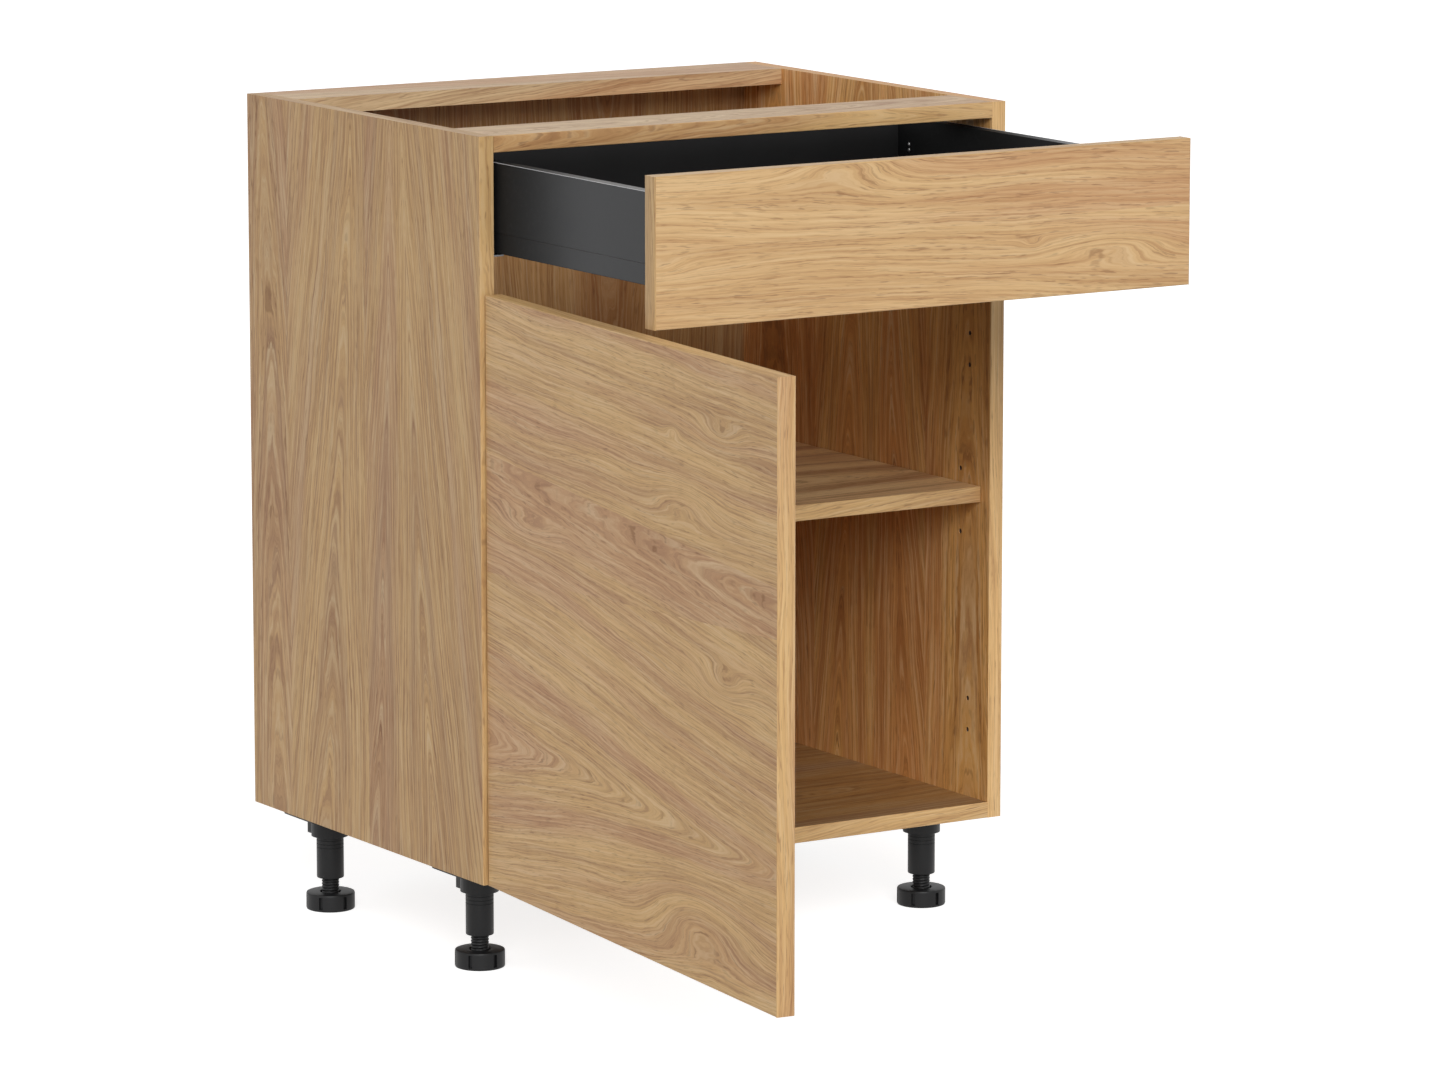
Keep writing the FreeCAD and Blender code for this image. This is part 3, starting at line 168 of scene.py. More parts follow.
class Graph:
    """The node tree of a material or a world, written as plain expressions."""

    def __init__(self, owner: Union[bpy.types.Material, bpy.types.World]) -> None:
        """Start an empty tree.

        Args:
            owner: The material or world that holds it.
        """
        owner.use_nodes = True
        self.owner, self.tree = owner, owner.node_tree
        self.tree.nodes.clear()

    def feed(self, socket: Socket, value: Given) -> None:
        """Give a socket a link, a colour or a number.

        Args:
            socket: The socket.
            value: What it gets.
        """
        if isinstance(value, bpy.types.NodeSocket):
            self.tree.links.new(value, socket)
        elif isinstance(value, (tuple, list, Vector)):
            socket.default_value = (*value, 1.0)[:len(socket.default_value)]
        else:
            socket.default_value = value

    def make(self, kind: str, inputs: dict[Union[int, str], Given], output: Union[int, str] = 0,
             **settings: Union[str, bool]) -> Socket:
        """Add one node and give one of its outputs.

        Args:
            kind: Kind of the node.
            inputs: What its sockets get, by number or name.
            output: Number or name of the output.
            settings: Its settings, by name.

        Returns:
            The socket of the output.
        """
        made = self.tree.nodes.new(f"ShaderNode{kind}")
        for name, setting in settings.items():
            setattr(made, name, setting)
        for key, value in inputs.items():
            self.feed(made.inputs[key], value)
        return made.outputs[output]

    def math(self, operation: str, *values: Value) -> Socket:
        """Work out one number from others by a named operation."""
        return self.make("Math", dict(enumerate(values)), operation=operation)

    def add(self, first: Value, *others: Value) -> Value:
        """Add numbers up."""
        return self.add(self.math("ADD", first, others[0]), *others[1:]) if others else first

    def times(self, first: Value, second: Value) -> Socket:
        """Multiply two numbers."""
        return self.math("MULTIPLY", first, second)

    def less(self, first: Value, second: Value) -> Socket:
        """Take the second number from the first."""
        return self.math("SUBTRACT", first, second)

    def above(self, value: Value, edge: Value) -> Socket:
        """Tell whether a number lies above an edge."""
        return self.math("GREATER_THAN", value, edge)

    def size(self, value: Value) -> Socket:
        """Give a number without its sign."""
        return self.math("ABSOLUTE", value)

    def dot(self, vector: Socket, way: Sequence[float]) -> Socket:
        """Give a vector's reach along one way."""
        return self.make("VectorMath", {0: vector, 1: tuple(way)}, "Value",
                         operation="DOT_PRODUCT")

    def combine(self, *values: Value) -> Socket:
        """Make a vector from three numbers."""
        return self.make("CombineXYZ", dict(enumerate(values)))

    def noise(self, vector: Socket, detail: float = 2.0, roughness: float = 0.5,
              scale: float = 1.0) -> Socket:
        """Give smooth noise from 0 to 1 at a point."""
        return self.make("TexNoise", {"Vector": vector, "Scale": scale, "Detail": detail,
                                      "Roughness": roughness})

    def streaks(self, layer: Layer, run: Value, cross: Value, seed: Value) -> Socket:
        """Give a layer's noise from the places along and across the grain."""
        point = (self.times(run, layer.long), self.times(cross, layer.fine),
                 self.add(seed, layer.shift) if layer.shift else seed)
        return self.noise(self.combine(*point), layer.detail, layer.roughness)

    def spread(self, value: Value, low: float, high: float, to_low: Value = 0.0,
               to_high: Value = 1.0, smooth: bool = False) -> Socket:
        """Map the range from low to high onto another and hold it there."""
        return self.make("MapRange", dict(enumerate((value, low, high, to_low, to_high))),
                         clamp=True, interpolation_type="SMOOTHSTEP" if smooth else "LINEAR")

    def show(self, value: Value, step: Step, strength: float = 1.0) -> Socket:
        """Turn a layer of noise into its share of the colour."""
        return self.spread(value, step.start, step.full, 0.0, step.share * strength)

    def blend(self, share: Value, first: Union[Socket, Triple], second: Union[Socket, Triple],
              kind: str = "MIX") -> Socket:
        """Blend a share of the second colour into the first."""
        return self.make("Mix", {"Factor": share, 6: first, 7: second}, 2, data_type="RGBA",
                         blend_type=kind)

    def choose(self, share: Value, first: Value, second: Value) -> Socket:
        """Blend a share of the second number into the first."""
        return self.make("Mix", {0: share, 2: first, 3: second}, data_type="FLOAT")

    def bump(self, height: Socket, distance: float, strength: float) -> Socket:
        """Turn a height into a bent normal."""
        return self.make("Bump", {"Strength": strength, "Distance": distance, "Height": height})

    def place(self) -> Socket:
        """Give the point in metres in the piece's own frame."""
        return self.make("TexCoord", {}, "Object")

    def facing(self) -> Socket:
        """Give the way the surface faces in the piece's own frame."""
        return self.make("TexCoord", {}, "Normal")

    def end(self, shader: Socket, kind: str = "Material") -> None:
        """End the tree in one shader."""
        output = self.tree.nodes.new(f"ShaderNodeOutput{kind}")
        self.tree.links.new(shader, output.inputs["Surface"])

    def surface(self, **inputs: Given) -> bpy.types.Material:
        """End the tree in one surface shader.

        Args:
            inputs: The shader's sockets by name, with _ for each space.

        Returns:
            The finished material.
        """
        named = {name.replace("_", " "): value for name, value in inputs.items()}
        self.end(self.make("BsdfPrincipled", named))
        return self.owner


# Finishes


class Finish(Protocol):
    """Anything that a piece can be dressed in."""

    name: str

    def build(self) -> bpy.types.Material:
        """Write the material."""


@lru_cache(maxsize=None)
def material_of(finish: Finish) -> bpy.types.Material:
    """Write a finish once, so that pieces share its material."""
    return finish.build()


# Layers of the oak decor. The last four bend its lines.
RING = Layer(1.5, 235.0, 3.0, 0.62)
FIBRE = Layer(8.0, 520.0, 4.0, 0.70)
PORE = Layer(58.0, 900.0, 1.0)
BAND = Layer(0.9, 19.0)
CLOUD = Layer(5.0, 13.0)
SMOKE = Layer(2.4, 62.0, 3.0, 0.55, shift=7.0)
DRIFT = Layer(1.9, 4.5, 2.0, 0.45, reach=0.05)
SWELL = Layer(0.7, 1.6, 1.0, shift=31.0, reach=0.07)
RIPPLE = Layer(8.0, 46.0, 2.0, 0.6, shift=13.0, reach=0.0068)
CURL = Layer(48.0, 190.0, 2.0, 0.6, shift=17.0, reach=0.0015)

# How they show
HEARTWOOD, HEART_SHARE, HEART_WARMTH = (0.54, 0.70), 0.85, 0.22
CLOUDY = Step(0.35, 0.75, 0.16)
SMOKY, CLEAR = Step(0.50, 0.74, 0.34), Step(0.46, 0.28, 0.20)
LATE_WOOD, LATE_SHARE, EARLY_WOOD = Step(0.48, 0.72), 0.38, Step(0.44, 0.26, 0.30)
DARK_FIBRE, PALE_FIBRE = Step(0.50, 0.68, 0.46), Step(0.50, 0.34, 0.34)
OPEN_PORE, PORE_SHARE = Step(0.58, 0.68), 0.45
LATE_IN_CLOUD = (0.25, 0.60, 0.45, 1.0)
PORE_IN_RING = (0.40, 0.60, 0.35, 1.0)

# Colours that all boards share
CLEAR_TONE, EARLY_TONE = linear(240, 210, 164), linear(236, 205, 158)
# The core tone is the core seen in bores and rebates, painted dark so that it also stands for the
# shade inside them.
FIBRE_TONE, PORE_TONE, CORE_AND_SHADE_TONE = linear(240, 212, 168), linear(118, 76, 46), linear(66, 45, 30)

# Surface and field of the decor
GRAIN_RELIEF, GRAIN_STRENGTH, GRAIN_SPECULAR = 0.00010, 0.55, 0.50
FIBRE_RISE, PORE_SINK, FIBRE_ROUGH, PORE_ROUGH = 0.5, 0.8, 0.10, 0.12
NARROW_FACE, END_GRAIN, DEPTH_SEED, STAVE_SEED = 0.7, 0.3, 3.0, 4.7
EYE_REACH = 12.0
CUT_DEPTH = 0.0006


@dataclass(frozen=True)
class Eye:
    """An eye or a knot, round which the lines flow.

    Attributes:
        along: Its place along the grain.
        across: Its place across the grain.
        length: Its reach along the grain.
        width: Its reach across the grain.
        lift: How far it pushes the lines.
    """

    along: float
    across: float
    length: float
    width: float
    lift: float


@dataclass(frozen=True)
class Stave:
    """A strip of the decor, cut from one log.

    Attributes:
        start: Where it begins across the grain.
        heart: Where the log's heart runs across the grain.
        depth: How deep the heart runs under the face.
        taper: How fast the rings close along the grain.
        tilt: How far the lines lean for each metre along the grain.
        warmth: Share of reddish heartwood.
        lean: How far the strip's border leans for each metre.
    """

    start: float
    heart: float
    depth: float = 0.03
    taper: float = 0.03
    tilt: float = 0.0
    warmth: float = 0.5
    lean: float = 0.0


@dataclass(frozen=True)
class Grain:
    """How the decor lies on a board.

    Attributes:
        along: Direction of the grain.
        across: Direction across the grain, in the board's face.
        origin: Point from which both are measured.
    """

    along: Triple
    across: Triple
    origin: Triple = (0.0, 0.0, 0.0)


@dataclass(frozen=True)
class OakDecor:
    """Light natural oak decor: staves with ring lines, heartwood, fibres, pores and placed eyes.

    Attributes:
        name: Name of the material.
        grain: How it lies.
        seed: Moves the pattern, so that no two boards match.
        staves: Its strips, in order across the grain.
        eyes: Placed eyes and knots.
        pale: Colour of the pale wood.
        red: Colour of the heartwood.
        dark: Colour of the lines.
        contrast: Strength of the lines.
        shade: Depth of the whole board's tone, which also holds painted shade and painted light:
            lower for boards in shade, higher for lit ones.
        roughness: Roughness of the lacquer.
        core: Lowest and highest corner of a drilled board, whose bores and rebates show its core,
            painted dark as the shade inside them too.
    """

    name: str
    grain: Grain
    seed: float
    staves: tuple[Stave, ...] = (Stave(-9.0, 0.0),)
    eyes: tuple[Eye, ...] = ()
    pale: Triple = linear(222, 185, 134)
    red: Triple = linear(203, 154, 108)
    dark: Triple = linear(152, 101, 61)
    contrast: float = 1.25
    shade: float = 0.92
    roughness: float = 0.44
    core: tuple[Triple, ...] = ()

    def build(self) -> bpy.types.Material:
        """Write the material.

        Returns:
            The material.
        """
        graph = Graph(bpy.data.materials.new(self.name))
        place, facing = graph.place(), graph.facing()
        heading, sideways = Vector(self.grain.along), Vector(self.grain.across)
        origin = Vector(self.grain.origin)
        along, across, depth = (graph.less(graph.dot(place, way), way.dot(origin))
                                for way in (heading, sideways, heading.cross(sideways)))
        ends, edges = (graph.above(graph.size(graph.dot(facing, way)), NARROW_FACE)
                       for way in (heading, sideways))
        run = graph.choose(ends, along, graph.times(across, END_GRAIN))
        cross = graph.choose(graph.math("MAXIMUM", ends, edges), across,
                             graph.add(depth, self.staves[0].start))
        flow, warmth = self._flow(graph, run, cross)
        seed = graph.add(graph.times(depth, DEPTH_SEED), self.seed)

        ring, fibre, pore, band, smoke = (graph.streaks(layer, run, flow, seed)
                                          for layer in (RING, FIBRE, PORE, BAND, SMOKE))
        cloud = graph.streaks(CLOUD, run, cross, seed)
        heart = graph.spread(graph.add(band, graph.times(warmth, HEART_WARMTH)), *HEARTWOOD,
                             smooth=True)
        late = graph.times(graph.show(ring, LATE_WOOD), graph.spread(cloud, *LATE_IN_CLOUD))
        pores = graph.times(graph.show(pore, OPEN_PORE), graph.spread(ring, *PORE_IN_RING))
        colour = graph.blend(graph.times(heart, HEART_SHARE), self.pale, self.red)
        for share, tone in (
                (graph.show(cloud, CLOUDY), self.dark),
                (graph.show(smoke, SMOKY, self.contrast), self.dark),
                (graph.show(smoke, CLEAR), CLEAR_TONE),
                (graph.times(late, LATE_SHARE * self.contrast), self.dark),
                (graph.show(ring, EARLY_WOOD, self.contrast), EARLY_TONE),
                (graph.show(fibre, DARK_FIBRE, self.contrast), self.dark),
                (graph.show(fibre, PALE_FIBRE, self.contrast), FIBRE_TONE),
                (graph.times(pores, PORE_SHARE), PORE_TONE)):
            colour = graph.blend(share, colour, tone)
        # Painted shade and light: the board's shade scales its whole colour, darker for boards in
        # shade and brighter for lit ones.
        colour = graph.blend(1.0, colour, (self.shade, self.shade, self.shade), "MULTIPLY")
        # Bores and rebates take the core tone, which also paints the shade inside them.
        if self.core:
            colour = graph.blend(self._in_bore(graph, place), colour, CORE_AND_SHADE_TONE)
        height = graph.less(graph.times(fibre, FIBRE_RISE), graph.times(pores, PORE_SINK))
        rough = graph.add(self.roughness, graph.times(fibre, FIBRE_ROUGH),
                          graph.times(pores, PORE_ROUGH))
        return graph.surface(Base_Color=colour, Roughness=rough,
                             Specular_IOR_Level=GRAIN_SPECULAR,
                             Normal=graph.bump(height, GRAIN_RELIEF, GRAIN_STRENGTH))

    def _flow(self, graph: Graph, run: Socket, cross: Socket) -> tuple[Value, Value]:
        """Give the ring field of the staves and their warmth.

        Args:
            graph: The graph to write in.
            run: Place along the grain.
            cross: Place across the grain.

        Returns:
            The field that the lines follow, and the share of heartwood.
        """
        first, *others = self.staves
        seed: Value = self.seed
        values: dict[str, Value] = {name: getattr(first, name)
                                    for name in ("heart", "depth", "taper", "tilt", "warmth")}
        for index, stave in enumerate(others, start=1):
            inside = graph.above(cross, graph.add(graph.times(run, stave.lean), stave.start))
            values = {name: graph.choose(inside, value, getattr(stave, name))
                      for name, value in values.items()}
            seed = graph.choose(inside, seed, self.seed + STAVE_SEED * index)
        drift, swell, ripple, curl = (
            graph.times(graph.less(graph.streaks(layer, run, cross, seed), 0.5), layer.reach)
            for layer in (DRIFT, SWELL, RIPPLE, CURL))
        side = graph.less(graph.less(cross, values["heart"]), graph.times(run, values["tilt"]))
        side, deep = graph.add(side, drift), graph.add(values["depth"], swell)
        span = graph.math("SQRT", graph.add(graph.times(side, side), graph.times(deep, deep)))
        pushes = (self._push(graph, eye, run, cross) for eye in self.eyes)
        flow = graph.add(span, graph.times(run, values["taper"]), *pushes)
        return graph.add(flow, ripple, curl), values["warmth"]

    def _in_bore(self, graph: Graph, place: Socket) -> Value:
        """Tell whether a point lies inside the board's outer faces, as in a bore.

        Args:
            graph: The graph to write in.
            place: The point.

        Returns:
            1 inside and 0 on the faces.
        """
        inside: Value = 1.0
        for way, low, high in zip((X, Y, Z), *self.core):
            level = graph.dot(place, way)
            short = graph.math("LESS_THAN", level, high - CUT_DEPTH)
            inside = graph.times(inside, graph.times(graph.above(level, low + CUT_DEPTH), short))
        return inside

    @staticmethod
    def _push(graph: Graph, eye: Eye, run: Socket, cross: Socket) -> Socket:
        """Give the push of one eye at a point.

        Args:
            graph: The graph to write in.
            eye: The eye.
            run: Place along the grain.
            cross: Place across the grain.

        Returns:
            The push, in metres.
        """
        length = graph.math("DIVIDE", graph.less(run, eye.along), eye.length)
        width = graph.math("DIVIDE", graph.less(cross, eye.across), eye.width)
        square = graph.add(graph.times(length, length), graph.times(width, width))
        reach = graph.math("MINIMUM", square, EYE_REACH)
        return graph.times(graph.math("EXPONENT", graph.times(reach, -1.0)), eye.lift)


def edge_band(name: str, along: Triple, across: Triple, seed: float, heart: float = -0.3,
              taper: float = 0.010, shade: float = 0.90) -> OakDecor:
    """Give the decor of an edge band, a narrow strip of the log.

    Args:
        name: Name of the material.
        along: Direction of the band.
        across: Direction across the band's broad face.
        seed: Moves the pattern.
        heart: Where the log's heart runs across the band.
        taper: How fast its rings close along the band.
        shade: Depth of its tone, which also holds painted shade and painted light for bands that
            are lit less or more.

    Returns:
        The finish.
    """
    stave = Stave(-9.0, heart, depth=0.006, taper=taper, warmth=0.1)
    return OakDecor(name, Grain(along, across), seed, (stave,), pale=linear(227, 185, 124),
                    contrast=1.1, shade=shade, roughness=0.40)


@dataclass(frozen=True)
class Coating:
    """Powder coat, melamine or moulded plastic, with grit, dust and slight wear; where set, also a
    painted shade along Y and a painted highlight on a top rim.

    Attributes:
        name: Name of the material.
        colour: Its colour.
        roughness: Its roughness.
        grit: Depth of its fine texture, in metres.
        size: Grains of that texture for each metre.
        wear: How far the shade wanders.
        specular: Strength of its reflection.
        fade: Where along Y a painted shade starts and ends to deepen, and the share of the tone
            left there.
        rim: Distance from the middle along X, and height, beyond which its rounded top edge gets a
            painted highlight.
    """

    name: str
    colour: Triple
    roughness: float
    grit: float = 0.00003
    size: float = 1400.0
    wear: float = 0.25
    specular: float = 0.5
    fade: Triple = (0.0, 1.0, 1.0)
    rim: Optional[tuple[float, float]] = None

    def build(self) -> bpy.types.Material:
        """Write the material.

        Returns:
            The material.
        """
        graph = Graph(bpy.data.materials.new(self.name))
        place = graph.place()
        fine = graph.noise(place, detail=2.0, scale=self.size)
        broad = graph.noise(place, detail=3.0, scale=22.0)
        dust = graph.show(graph.noise(place, detail=4.0, roughness=0.7, scale=160.0),
                          Step(0.52, 0.80, 0.12))
        # Painted shade: the colour darkens along Y over the fade span, and the roughness rises
        # with it.
        start, stop, left = self.fade
        painted_shade = graph.spread(graph.dot(place, Y), start, stop, 1.0, left, smooth=True)
        shade = graph.times(graph.add(1.0 - self.wear / 2, graph.times(broad, self.wear)), painted_shade)
        colour = graph.blend(1.0, self.colour, graph.combine(shade, shade, shade), "MULTIPLY")
        lifted = tuple(min(1.0, channel * 1.6 + 0.006) for channel in self.colour)
        colour = graph.blend(dust, colour, lifted)
        if self.rim:
            # Painted highlight: a pale grey on the rim's rounded top edge.
            colour = graph.blend(self._painted_highlight(graph, place), colour, linear(205, 206, 209))
        rough = graph.add(self.roughness - 0.06, graph.times(broad, 0.12),
                          graph.times(graph.less(fine, 0.5), 0.10),
                          graph.times(graph.less(1.0, painted_shade), 0.45))
        return graph.surface(Base_Color=colour, Roughness=rough, Specular_IOR_Level=self.specular,
                             Normal=graph.bump(fine, self.grit, strength=0.6))

    def _painted_highlight(self, graph: Graph, place: Socket) -> Socket:
        """Tell whether a point lies on the rounded top edge of the rim, which gets a painted
        highlight.

        Args:
            graph: The graph to write in.
            place: The point.

        Returns:
            1 on the rim and 0 elsewhere.
        """
        outer = graph.above(graph.size(graph.dot(place, X)), self.rim[0])
        upper = graph.above(graph.dot(place, Z), self.rim[1])
        rise = graph.show(graph.dot(graph.facing(), Z), Step(0.15, 0.45))
        return graph.times(graph.times(outer, upper), rise)


@dataclass(frozen=True)
class Metal:
    """Rolled, plated or die-cast metal, with drawing lines, stains and dulled spots.

    Attributes:
        name: Name of the material.
        colour: Its colour.
        roughness: Its roughness.
        drawn: How the drawing lines are stretched along each axis.
        stain: Colour that it dulls to.
    """

    name: str
    colour: Triple
    roughness: float
    drawn: Triple = (1.0, 1.0, 1.0)
    stain: Triple = (0.30, 0.29, 0.27)

    def build(self) -> bpy.types.Material:
        """Write the material.

        Returns:
            The material.
        """
        graph = Graph(bpy.data.materials.new(self.name))
        place = graph.place()
        stretched = graph.make("VectorMath", {0: place, 1: self.drawn}, operation="MULTIPLY")
        line = graph.noise(stretched, detail=3.0, roughness=0.6, scale=1500.0)
        broad = graph.noise(place, detail=4.0, roughness=0.6, scale=45.0)
        stained = graph.show(broad, Step(0.50, 0.78, 0.45))
        colour = graph.blend(stained, self.colour, self.stain)
        colour = graph.blend(graph.show(line, Step(0.35, 0.70, 0.18)), colour, self.stain)
        rough = graph.add(self.roughness, graph.times(stained, 0.18),
                          graph.times(graph.less(line, 0.5), 0.16))
        return graph.surface(Base_Color=colour, Roughness=rough, Metallic=1.0,
                             Normal=graph.bump(line, 0.00002, strength=0.5))


ZINC_ALLOY = Metal(Slot.ZINC_ALLOY.value, (0.40, 0.41, 0.43), 0.44)
NICKEL = Metal(Slot.NICKEL.value, (0.62, 0.60, 0.57), 0.27, drawn=(1.0, 1.0, 0.08))
ZINC_STEEL = Metal("zinc_steel", (0.26, 0.265, 0.275), 0.42, drawn=(1.0, 0.05, 1.0),
                   stain=(0.24, 0.245, 0.25))
SCREW_STEEL = Metal(Slot.SCREW.value, (0.58, 0.58, 0.58), 0.30)
PLASTIC = Coating(Slot.PLASTIC.value, linear(22, 22, 23), 0.46, grit=0.00005, size=1100.0,
                  specular=0.27)
RUBBER = Coating(Slot.RUBBER.value, (0.62, 0.62, 0.58), 0.32, grit=0.00001, wear=0.1)
# The drawer sides carry a painted shade that darkens them towards the rear, near the carcass, and
# a painted highlight on their top rim.
POWDER = Coating("anthracite_steel", linear(45, 46, 48), 0.34, grit=0.00003, size=2200.0,
                 wear=0.12, specular=0.22, fade=(-0.640, -0.480, 0.10), rim=(0.2784, -0.0270))
MELAMINE = Coating("anthracite_board", linear(40, 40, 41), 0.50, grit=0.00004, size=900.0,
                   specular=0.3)


# Shapes


def closed_door() -> Matrix:
    """Give the matrix that takes a point of the shut door to where it stands open."""
    turn = DOOR_TURN.to_4x4()
    return Matrix.Translation(CUP_PIVOT_OPEN) @ turn @ Matrix.Translation(-CUP_PIVOT_CLOSED)


def solids(node: str) -> list[list[Vector]]:
    """Split a CAD piece into the points of its separate solids.

    Args:
        node: Name of the CAD piece.

    Returns:
        The points of each solid, from the lowest solid to the highest.
    """
    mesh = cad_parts[node].data
    keys = [tuple(round(value, WELD_DIGITS) for value in vertex.co) for vertex in mesh.vertices]
    parent = {key: key for key in keys}

    def root(key: Triple) -> Triple:
        """Give the point that stands for a point's whole solid.

        Args:
            key: The point.

        Returns:
            The point that stands for its solid.
        """
        while parent[key] != key:
            parent[key] = parent[parent[key]]
            key = parent[key]
        return key

    for polygon in mesh.polygons:
        first = root(keys[polygon.vertices[0]])
        for index in polygon.vertices[1:]:
            parent[root(keys[index])] = first
    groups: dict[Triple, list[Vector]] = {}
    for key in parent:
        groups.setdefault(root(key), []).append(Vector(key))
    return sorted(groups.values(),
                  key=lambda points: tuple(min(p[axis] for p in points) for axis in (2, 0, 1)))


def bored(node: str) -> tuple[Triple, ...]:
    """Give the outer box of a drilled CAD board, for its finish."""
    return tuple(tuple(corner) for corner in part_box(node))


def limits(points: Iterable[Vector]) -> tuple[Vector, Vector]:
    """Give the lowest and the highest corner of a set of points."""
    rows = list(zip(*points))
    return Vector([min(row) for row in rows]), Vector([max(row) for row in rows])


def held(share: float) -> float:
    """Keep a share between 0 and 1."""
    return min(1.0, max(0.0, share))


def stack(*parts: tuple[float, float, Outline]) -> list[tuple[float, float]]:
    """Join outlines, each with the scale of its radii and the height where it starts."""
    return [(radius * scale, start + height)
            for scale, start, outline in parts for radius, height in outline]


def inward(point: Vector) -> Vector:
    """Give the way along X from a point to the middle of the cabinet."""
    return Vector((-1.0 if point.x > 0 else 1.0, 0.0, 0.0))


def stand(name: str, data: bpy.types.ID) -> bpy.types.Object:
    """Put an object with that data into the scene.

    Args:
        name: Name of the object.
        data: Its mesh, light or camera.

    Returns:
        The object.
    """
    made = bpy.data.objects.new(name, data)
    bpy.context.scene.collection.objects.link(made)
    return made


class Form:
    """A mesh that is built ring by ring, in its own frame."""

    def __init__(self, name: str, matrix: Optional[Matrix] = None) -> None:
        """Start an empty mesh.

        Args:
            name: Name of the piece.
            matrix: Takes its own frame to the cabinet's.
        """
        self.name = name
        self.matrix = matrix or Matrix.Identity(4)
        self.points: list[Vector] = []
        self.faces: list[tuple[int, ...]] = []

    def skin(self, rings: Sequence[Sequence[Vector]], first_cap: bool = True,
             last_cap: bool = True) -> None:
        """Draw a skin over closed rings of equal count.

        Args:
            rings: The rings, in order.
            first_cap: Whether the first ring is closed with a face.
            last_cap: Whether the last one is.
        """
        first, count = len(self.points), len(rings[0])
        last = first + (len(rings) - 1) * count
        self.points += [self.matrix @ point for ring in rings for point in ring]
        for row in range(first, last, count):
            for step in range(count):
                here, following = row + step, row + (step + 1) % count
                self.faces.append((here, following, following + count, here + count))
        if first_cap:
            self.faces.append(tuple(reversed(range(first, first + count))))
        if last_cap:
            self.faces.append(tuple(range(last, last + count)))

    def turned(self, base: Vector, way: Sequence[float], profile: Outline, segments: int = 48,
               relief: Optional[Relief] = None, angles: Optional[Sequence[float]] = None) -> None:
        """Turn a profile round an axis.

        Args:
            base: Point on the axis from which heights count.
            way: Direction of the axis.
            profile: Radius and height of each ring, in order.
            segments: Steps round the axis.
            relief: Gives another radius and height for a radius, height and angle.
            angles: Angles of the steps, in place of even ones.
        """
        axis = Vector(way).normalized()
        across = Vector(X) if abs(axis.x) < 0.9 else Vector(Y)
        side = (across - axis * across.dot(axis)).normalized()
        up = axis.cross(side)
        turns = angles or [math.tau * step / segments for step in range(segments)]
        rings = []
        for radius, height in profile:
            ring = []
            for turn in turns:
                reach, rise = relief(radius, height, turn) if relief else (radius, height)
                spoke = side * math.cos(turn) + up * math.sin(turn)
                ring.append(base + axis * rise + spoke * reach)
            rings.append(ring)
        self.skin(rings, profile[0][0] > 1e-5, profile[-1][0] > 1e-5)

    def bar(self, low: Vector, high: Vector, outward: Sequence[float]) -> None:
        """Make the bar of an edge band, whose two long outer edges are rounded.

        Args:
            low: Its lowest corner.
            high: Its highest corner.
            outward: Direction in which its rounded edges lie.
        """
        half, centre, radius = (high - low) / 2, (low + high) / 2, BAND_ROUNDING
        out = max(range(3), key=lambda index: abs(outward[index]))
        long = max((index for index in range(3) if index != out), key=lambda index: half[index])
        wide = 3 - out - long
        sign = 1.0 if outward[out] > 0 else -1.0
        outline = [(-half[out], -half[wide]), (half[out] - radius, -half[wide])]
        for step in range(1, BAND_STEPS + 1):
            turn = math.pi / 2 * step / BAND_STEPS
            outline.append((half[out] - radius + radius * math.sin(turn),
                            -half[wide] + radius - radius * math.cos(turn)))
        outline += [(push, -shift) for push, shift in reversed(outline)]
        axes = [Vector(axis) for axis in (X, Y, Z)]
        self.skin([[centre + axes[out] * sign * push + axes[wide] * shift + axes[long] * end
                    for push, shift in outline] for end in (-half[long], half[long])])

    def mesh(self) -> bpy.types.Mesh:
        """Write the mesh as it is.

        Returns:
            The mesh.
        """
        mesh = bpy.data.meshes.new(self.name)
        mesh.from_pydata([tuple(point) for point in self.points], [], self.faces)
        return mesh

    def piece(self, finish: Finish, body: str, *replaced: str) -> None:
        """End the mesh as a piece that moves with a body.

        Args:
            finish: Its finish.
            body: The body that it rides on.
            replaced: CAD pieces that it stands for.
        """
        mesh = self.mesh()
        shell = bmesh.new()
        shell.from_mesh(mesh)
        bmesh.ops.remove_doubles(shell, verts=shell.verts, dist=MERGE)
        bmesh.ops.recalc_face_normals(shell, faces=shell.faces)
        shell.to_mesh(mesh)
        shell.free()
        mesh.shade_smooth()
        mesh.set_sharp_from_angle(angle=CREASE)
        mesh.materials.append(material_of(finish))
        made = stand(self.name, mesh)
        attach(made, body)
        if replaced:
            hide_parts(*replaced)
        LOG.info("%s rides on %s in %s", self.name, body, finish.name)


# Sub-assemblies


